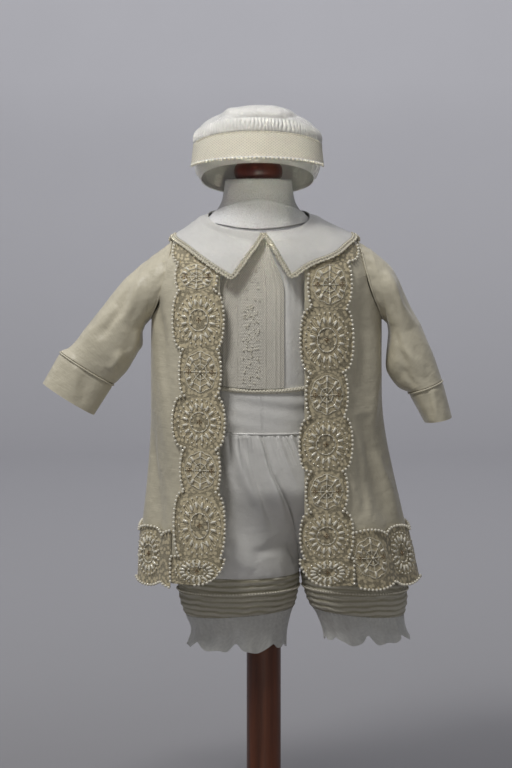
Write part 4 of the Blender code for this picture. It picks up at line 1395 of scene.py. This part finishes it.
def collar_edge(side, ribs):
    """Points along the collar's front and outer edges, with the way out of the collar at each."""
    fronts, outers = steps(22, 0.03, 1.0)[:-1], steps(130)
    u, v = np.append(0 * fronts, outers), np.append(fronts, 1 + 0 * outers)
    here = collar_points(side, ribs, u, v)
    front = unit(here - collar_points(side, ribs, u + 0.004, v))
    down = unit(here - collar_points(side, ribs, u, v - 0.004))
    on_front = (np.arange(len(u)) < len(fronts))[:, None]
    away = np.where(on_front, front, down)
    kernel = np.ones(5) / 5
    padded = np.vstack([away[:1]] * 2 + [away] + [away[-1:]] * 2)
    away = np.stack([np.convolve(padded[:, k], kernel, "valid") for k in range(3)], -1)
    return here, unit(away)


def make_collar():
    beads = []
    for side, tag, ribs in ((-1, "left", COLLAR_LEFT), (1, "right", COLLAR_RIGHT)):
        flip, name = side > 0, f"satin_collar_{tag}"
        points = collar_points(side, ribs, *grid(100, 30))
        nodes, rests = [f"collar_{tag}"], ["silk_back", f"silk_front_{tag}"]
        sew(name, points, "collar_satin", nodes, (0.19, 0.06), "folded", rests, 0.88, flip=flip)
        here, away = collar_edge(side, ribs)
        share = steps(7)[:, None, None]
        gaps = np.append(0, np.cumsum(np.linalg.norm(np.diff(here, axis=0), axis=1)))
        scallop = COLLAR_EDGING * (0.82 + 0.18 * np.abs(np.sin(math.pi * gaps / 6.4)))
        points = here[None] + away[None] * (0.3 + scallop[None, :, None] * share)
        nodes = [f"collar_lace_{tag}"]
        sew(f"picot_{tag}", points, "brim_lace", nodes, (0.30, 0.01), "draped", [name], 0.6, flip=flip)
        normal = unit(np.cross(away, np.gradient(here, axis=0)) * side)
        normal *= np.sign((normal * (here - np.array([0, 0, 600]))).sum(1))[:, None]
        beads.append(edge_beads(points[-1], normal, 3.2, 2.3))
        beads.append(edge_beads(points[2], normal, 3.2, 1.9))
    keep(bead_mesh("collar_beads", beads, finish("lace_cord")), [], "cream_lace")


# ---------------------------------------------------------------- cap


def in_cap(points):
    """From the cap's own upright frame to where it sits, tilted back."""
    turn = Matrix.Rotation(math.radians(-CAP_TILT), 3, "X")
    return points @ np.array(turn).T + np.array(CAP_SEAT)


def crown_base(angle, height):
    half, front, back = rows_at(CROWN_SECTIONS, height)
    return in_cap(ring((half, half, front, back, 2.1 + 0 * half), angle, height))


def crown_panel():
    u, v = grid(180, 70, closed=True)
    angle, height = 360 * u, -9 + 74.6 * v
    points = crown_base(angle, height)
    normal = grid_normals(points, closed=True)
    ahead = ridge((angle + 180) % 360 - 180, 0, 58, 4)
    puff = 1.4 * ahead * ridge(height, 55, 5) - 1.2 * ahead * ridge(height, 42, 2.6)
    dice = np.random.default_rng(3)
    gathers = 0.0
    for k in range(54):
        place, long = 360 * (k + dice.uniform(0.1, 0.9)) / 54, dice.uniform(6, 16)
        away = (angle - place + 180) % 360 - 180
        front_part = ridge((place + 180) % 360 - 180, 0, 75, 6)
        base = 38 * front_part + -4 * (1 - front_part)
        fade = ridge(height, base, long) * (height > base)
        gathers = gathers + dice.uniform(0.5, 1.4) * fade * ridge(away, 0, dice.uniform(1.4, 2.8))
    push = puff + gathers + crease_push(points, CAP_CREASES)
    push = push + 0.8 * np.sin(np.radians(angle) * 3 + height * 0.11) * smooth((height - 20) / 20)
    return points + normal * push[..., None]


def bed_points(angle, height, lift=2.0):
    return crown_base(angle, height) + facing(crown_base, angle, height) * lift


def brim_points(share, v):
    start = bed_points(share * BRIM_HALF_ANGLE, BRIM_SEAM_HEIGHT - 0.5 + 0 * share)
    turn = np.radians(share * BRIM_HALF_ANGLE)
    reach = 1 - 0.9 * np.abs(share) ** 2.5
    forward = np.stack([np.sin(turn), -np.cos(turn), 0 * turn], -1) * (BRIM_FORWARD * reach)[..., None]
    drop = np.stack([0 * share, 0 * share, -BRIM_DROP * (1 - 0.12 * np.abs(share) ** 3)], -1)
    return start + forward * (np.clip(v, 0, None) ** 0.8)[..., None] + drop * v[..., None]


def make_cap():
    crown, shape = ["satin_crown"], {"closed": True, "crown": in_cap(np.array([0.0, 2.0, 66.2]))}
    nodes, cut = ["cap_crown"], (0.29, 0.29)
    sew(crown[0], crown_panel(), "suit_satin", nodes, cut, "gathered", ["knob_turned"], 0.5, **shape)
    u, v = grid(420, 20)
    angle = -BRIM_HALF_ANGLE + 2 * BRIM_HALF_ANGLE * u
    points = bed_points(angle, BRIM_SEAM_HEIGHT + 0.9 + GATHER_HEIGHT * v)
    folds = np.abs(np.sin(math.pi * (46 * u + 0.4 * np.sin(23 * u) + 0.12 * np.sin(7 * v + 40 * u))))
    folds = 1.5 * folds * np.sin(math.pi * np.clip(v, 0.02, 0.98)) ** 0.5
    points = points + grid_normals(points) * folds[..., None]
    nodes = ["cap_gathers"]
    sew("satin_gathers", points, "suit_satin", nodes, (0.24, 0.016), "gathered", crown, 0.9)
    u, v = grid(150, 30)
    points = brim_points(2 * u - 1, 1 - v)
    points = points + grid_normals(points) * (0.5 * np.abs(np.sin(math.pi * 30 * u)))[..., None]
    nodes = ["cap_brim"]
    sew("lace_brim", points, "brim_lace", nodes, (0.21, 0.036), "stretched", crown, 0.9)
    shares = steps(220, -0.86, 0.86)
    low, before = brim_points(shares, 1 + 0 * shares), brim_points(shares, 0.98 + 0 * shares)
    away = unit(low - before)
    cord = cord_mesh("brim_piping", [low + away * 0.2], 0.95, finish("suit_satin"), closed=False)
    keep(cord, ["cap_brim_edge"], "satin")
    normal = unit(np.cross(away, np.gradient(low, axis=0)))
    upper = brim_points(shares, 0.03 + 0 * shares)
    rows = [
        edge_beads((low + away * 2.4)[12:-12], normal[12:-12], 4.6, 3.4),
        edge_beads(upper, normal, 3.3, 2.0),
    ]
    keep(bead_mesh("brim_picots", rows, finish("pearl")), [], "cream_lace")


# ---------------------------------------------------------------- dress form and stand


def form_base(angle, height):
    half, front, back, shift = rows_at(FORM_SECTIONS, height)
    return ring((half - shift, half + shift, front, back, 2.0 + 0 * half), angle, height)


def make_form():
    u, v = grid(96, 110, closed=True)
    height = 378 + 344 * v
    points = form_base(360 * u, height)
    obj = cloth("form_cover", points, 0, finish("form_jersey"), closed=True, sharp=50)
    bpy.ops.object.mode_set(mode="EDIT")
    bpy.ops.mesh.select_all(action="DESELECT")
    bpy.ops.mesh.select_non_manifold()
    bpy.ops.mesh.edge_face_add()
    bpy.ops.mesh.select_all(action="SELECT")
    bpy.ops.mesh.normals_make_consistent(inside=False)
    bpy.ops.object.mode_set(mode="OBJECT")
    keep(obj, ["form_torso"], "jersey")
    u, v = grid(60, 24)
    angle = -78 + 156 * u
    low = 668 + 6 * smooth(np.abs(angle) / 60)
    high = 700 - 15 * (np.abs(angle) / 78) ** 1.6
    height = low + (high - low) * v
    rim = 0.7 * ridge(v, 0.93, 0.05)
    points = form_base(angle, height) + facing(form_base, angle, height) * (1.6 + rim)[..., None]
    sew("form_bib", points, "bib_jersey", [], (0.115, 0.035), "stretched", ["form_cover"], 0.85)


def turned(name, profile, x, y, sides, wood):
    """Turned wood: a circle extruded and resized, step by step, along a profile of radius and height."""
    bpy.ops.object.select_all(action="DESELECT")
    radius, low = profile[0]
    bpy.ops.mesh.primitive_circle_add(
        vertices=sides, radius=radius * MM, fill_type="NGON", location=(x * MM, y * MM, low * MM)
    )
    obj = bpy.context.active_object
    obj.name = name
    bpy.ops.object.transform_apply(location=True, rotation=True, scale=True)
    bpy.ops.object.mode_set(mode="EDIT")
    bpy.ops.mesh.select_all(action="SELECT")
    for (before, level), (after, higher) in zip(profile, profile[1:]):
        bpy.ops.mesh.extrude_region_move(TRANSFORM_OT_translate={"value": (0, 0, (higher - level) * MM)})
        bpy.ops.transform.resize(
            value=(after / before, after / before, 1), center_override=(x * MM, y * MM, higher * MM)
        )
    bpy.ops.mesh.select_all(action="SELECT")
    bpy.ops.mesh.normals_make_consistent(inside=False)
    bpy.ops.object.mode_set(mode="OBJECT")
    bpy.ops.object.shade_smooth_by_angle(angle=math.radians(34))
    obj.data.materials.clear()
    obj.data.materials.append(wood)
    return obj


def make_stand():
    dark, stained = finish("knob_wood"), finish("pole_wood")
    base = [(121, 0), (124, 1), (125, 3), (125, 17), (124.4, 19), (122.6, 21.6), (119, 23.4), (114, 24)]
    keep(turned("base_disc", base, 0, 0, 128, dark), ["stand_base"], "dark_wood")
    pole = [(30, 24.4), (30, 27.6), (28.4, 30), (24.5, 33), (22.4, 37.4), (19.6, 40), (19, 42)]
    pole += [(19, 100), (19, 230), (19, 377.6)]
    keep(turned("pole_turned", pole, 2, 0, 72, stained), ["stand_pole"], "stained_wood")
    knob = [(22.5, 722.4), (24.6, 723.4), (26, 726), (26.5, 729), (26.5, 732), (25.6, 736)]
    knob += [(23.4, 739), (20, 740), (9.5, 740.4), (8, 741.5), (8, 760), (9, 763.5)]
    knob += [(17 * math.cos(turn), 779 + 17 * math.sin(turn)) for turn in np.radians(np.arange(-52, 88, 11))]
    keep(turned("knob_turned", knob, -4, 1, 72, dark), ["neck_knob"], "dark_wood")


# ---------------------------------------------------------------- stage


def light(name, place, target, size, power, colour):
    """An area light at this place, facing the target."""
    lamp = bpy.data.lights.new(name, "AREA")
    lamp.size, lamp.energy, lamp.color = size, power, colour
    obj = bpy.data.objects.new(name, lamp)
    bpy.context.scene.collection.objects.link(obj)
    obj.location = place
    obj.rotation_euler = (Vector(target) - Vector(place)).to_track_quat("-Z", "Y").to_euler()
    return lamp


def make_backdrop():
    """A floor that curves up into a wall, with painted light and shade: darker towards the front of the
    floor, lighter further back and up the wall.
    """
    bend, deep = 1.0, 5.0
    profile = [(-9.0, 0.0), (deep - bend, 0.0)]
    turns = np.radians(np.arange(6, 91, 6))
    profile += [(deep - bend + bend * math.sin(turn), bend - bend * math.cos(turn)) for turn in turns]
    profile += [(deep, 3.0), (deep, 7.0)]
    points = [(x, y, z) for y, z in profile for x in (-9.0, 9.0)]
    faces = [(2 * k, 2 * k + 1, 2 * k + 3, 2 * k + 2) for k in range(len(profile) - 1)]
    mesh = bpy.data.meshes.new("backdrop")
    mesh.from_pydata(points, [], faces)
    mesh.shade_smooth()
    obj = bpy.data.objects.new("backdrop", mesh)
    bpy.context.scene.collection.objects.link(obj)
    made, nodes, shader = new_material("backdrop_paper", (0.4, 0.4, 0.45), 0.9)
    place = nodes.place()
    parts = nodes.parts(place)
    # painted light and shade: the colour runs from dark on the floor near the stand to light high on the
    # wall
    near = nodes.maths("DIVIDE", 2.5, nodes.plus(nodes.most(parts[1], -2.0), 2.3))
    ahead = nodes.times(nodes.maths("SUBTRACT", 1.0, near), 0.6)
    rise = nodes.spread(nodes.plus(ahead, nodes.times(parts[2], 0.42)), 0.0, 0.9)
    base = nodes.mix(rise, (0.25, 0.247, 0.26, 1), (0.84, 0.84, 0.88, 1))
    mottle = nodes.times(nodes.noise(place, 3.0, 3.0), 0.1)
    nodes.join(shader["Base Color"], nodes.mix(mottle, base, (0.42, 0.42, 0.44, 1)))
    mesh.materials.append(made)


def make_stage():
    scene = bpy.context.scene
    make_backdrop()
    light("key", (-0.55, -0.8, 1.9), (0, 0, 0.55), 0.4, 15.5, (1.0, 0.99, 0.97))
    light("fill", (1.6, -2.0, 1.1), (0, 0, 0.45), 1.6, 1.0, (0.96, 0.97, 1.0))
    light("low", (0.1, -2.4, 0.25), (0, 0, 0.6), 1.0, 5.5, (1.0, 0.97, 0.88))
    beam = light("cap_low", (0.0, -1.6, 0.25), (0, 0, 0.745), 0.08, 0.026, (1.0, 0.96, 0.76))
    beam.spread = math.radians(9)
    light("rim", (-1.7, 0.4, 1.5), (0, 0, 0.5), 0.9, 3, (1.0, 1.0, 1.0))
    light("wall_wash", (0, 1.5, 4.2), (0, 5.0, 1.2), 5.0, 108, (0.98, 0.98, 1.0))
    world = bpy.data.worlds.new("room")
    world.use_nodes = True
    world.node_tree.nodes["Background"].inputs[0].default_value = (0.80, 0.80, 0.84, 1)
    world.node_tree.nodes["Background"].inputs[1].default_value = 0.17
    scene.world = world
    scene.view_settings.view_transform = "Standard"
    lens = bpy.data.cameras.new("camera")
    lens.lens = 98
    camera = bpy.data.objects.new("camera", lens)
    scene.collection.objects.link(camera)
    aim, far, rise = Vector((-0.0066, 0, 0.498)), 2.3, math.radians(4)
    camera.location = aim + Vector((0, -far * math.cos(rise), far * math.sin(rise)))
    camera.rotation_euler = (aim - camera.location).to_track_quat("-Z", "Y").to_euler()
    scene.camera = camera


# ---------------------------------------------------------------- add-on


def colour(name, text, value):
    return FloatVectorProperty(
        name=name, description=text, default=value, size=3, subtype="COLOR", min=0, max=1
    )


def length(name, text, value):
    return FloatProperty(name=name, description=text, default=value, unit="LENGTH", min=0.0001, max=0.01)


class SuitLook(bpy.types.PropertyGroup):
    """Colours, and cloth and bead sizes."""

    satin: colour("Satin", "Colour of the one-piece, collar and cap", (0.77, 0.76, 0.73))
    silk: colour("Silk", "Colour of the coat", (0.60, 0.555, 0.43))
    lace: colour("Champagne lace", "Colour of the coat's lace", (0.46, 0.40, 0.27))
    cream: colour("Cream lace", "Colour of the plastron, leg bands and brim", (0.74, 0.70, 0.58))
    # the frills' organza colour is darkened as painted shade, for the dimmer light low on the suit
    organza: colour("Organza", "Colour of the frills", (0.70, 0.70, 0.67))
    jersey: colour("Jersey", "Colour of the dress form", (0.62, 0.61, 0.62))
    pearl: colour("Pearl", "Colour of the pearls", (0.82, 0.78, 0.66))
    bead: colour("Brown bead", "Colour of the small dark beads", (0.24, 0.16, 0.08))
    dark_wood: colour("Dark wood", "Colour of the knob and base", (0.10, 0.024, 0.018))
    pole_wood: colour("Pole wood", "Colour of the pole", (0.13, 0.034, 0.010))
    satin_wall: length("Satin thickness", "Thickness of the satin", 0.0009)
    silk_wall: length("Silk thickness", "Thickness of the silk", 0.001)
    lace_wall: length("Lace thickness", "Thickness of the lace", 0.0008)
    organza_wall: length("Organza thickness", "Thickness of the organza", 0.0004)
    jersey_wall: length("Jersey thickness", "Thickness of the bib's jersey", 0.0006)
    pearl_size: length("Pearl size", "Diameter of the round pearls", 0.0033)
    pearl_gap: length("Pearl spacing", "Distance between round pearls", 0.0047)


class SUIT_OT_coat(bpy.types.Operator):
    """Adds the silk coat: fronts, back, sleeves, cuffs and piping"""

    bl_idname = "suit.coat"
    bl_label = "Coat"

    def execute(self, context):
        make_coat()
        return {"FINISHED"}


class SUIT_OT_lace(bpy.types.Operator):
    """Adds the coat's scalloped lace with its pearls, beads and cords"""

    bl_idname = "suit.lace"
    bl_label = "Beaded lace"

    def execute(self, context):
        make_lace()
        return {"FINISHED"}


class SUIT_OT_one_piece(bpy.types.Operator):
    """Adds the satin one-piece: bodice, plastron, waistband, legs, bands and frills"""

    bl_idname = "suit.one_piece"
    bl_label = "One-piece"

    def execute(self, context):
        make_one_piece()
        return {"FINISHED"}


class SUIT_OT_collar(bpy.types.Operator):
    """Adds the two collar halves with their picot edging"""

    bl_idname = "suit.collar"
    bl_label = "Collar"

    def execute(self, context):
        make_collar()
        return {"FINISHED"}


class SUIT_OT_cap(bpy.types.Operator):
    """Adds the cap: crown, gathers, lace brim and piping"""

    bl_idname = "suit.cap"
    bl_label = "Cap"

    def execute(self, context):
        make_cap()
        return {"FINISHED"}


class SUIT_OT_form(bpy.types.Operator):
    """Adds the limbless dress form's jersey cover and bib"""

    bl_idname = "suit.form"
    bl_label = "Dress form"

    def execute(self, context):
        make_form()
        return {"FINISHED"}


class SUIT_OT_stand(bpy.types.Operator):
    """Adds the turned wooden base, pole and knob"""

    bl_idname = "suit.stand"
    bl_label = "Stand"

    def execute(self, context):
        make_stand()
        return {"FINISHED"}


class SUIT_OT_stage(bpy.types.Operator):
    """Adds the backdrop, lights and camera"""

    bl_idname = "suit.stage"
    bl_label = "Stage"

    def execute(self, context):
        make_stage()
        return {"FINISHED"}


OPERATORS = (
    SUIT_OT_stand,
    SUIT_OT_form,
    SUIT_OT_one_piece,
    SUIT_OT_coat,
    SUIT_OT_lace,
    SUIT_OT_collar,
    SUIT_OT_cap,
    SUIT_OT_stage,
)


class SUIT_PT_panel(bpy.types.Panel):
    """Sizes and colours of the suit, and a button for each group of pieces"""

    bl_idname = "SUIT_PT_panel"
    bl_label = "Christening suit"
    bl_space_type = "VIEW_3D"
    bl_region_type = "UI"
    bl_category = "Suit"

    def draw(self, context):
        column = self.layout.column()
        for name in SuitLook.__annotations__:
            column.prop(context.scene.suit_look, name)
        for operator in OPERATORS:
            column.operator(operator.bl_idname)


def register():
    for cls in (SuitLook, *OPERATORS, SUIT_PT_panel):
        bpy.utils.register_class(cls)
    bpy.types.Scene.suit_look = PointerProperty(type=SuitLook)


def unregister():
    del bpy.types.Scene.suit_look
    for cls in reversed((SuitLook, *OPERATORS, SUIT_PT_panel)):
        bpy.utils.unregister_class(cls)


def main():
    register()
    for operator in OPERATORS:
        group_name, name = operator.bl_idname.split(".")
        getattr(getattr(bpy.ops, group_name), name)()


if __name__ == "__main__":
    main()
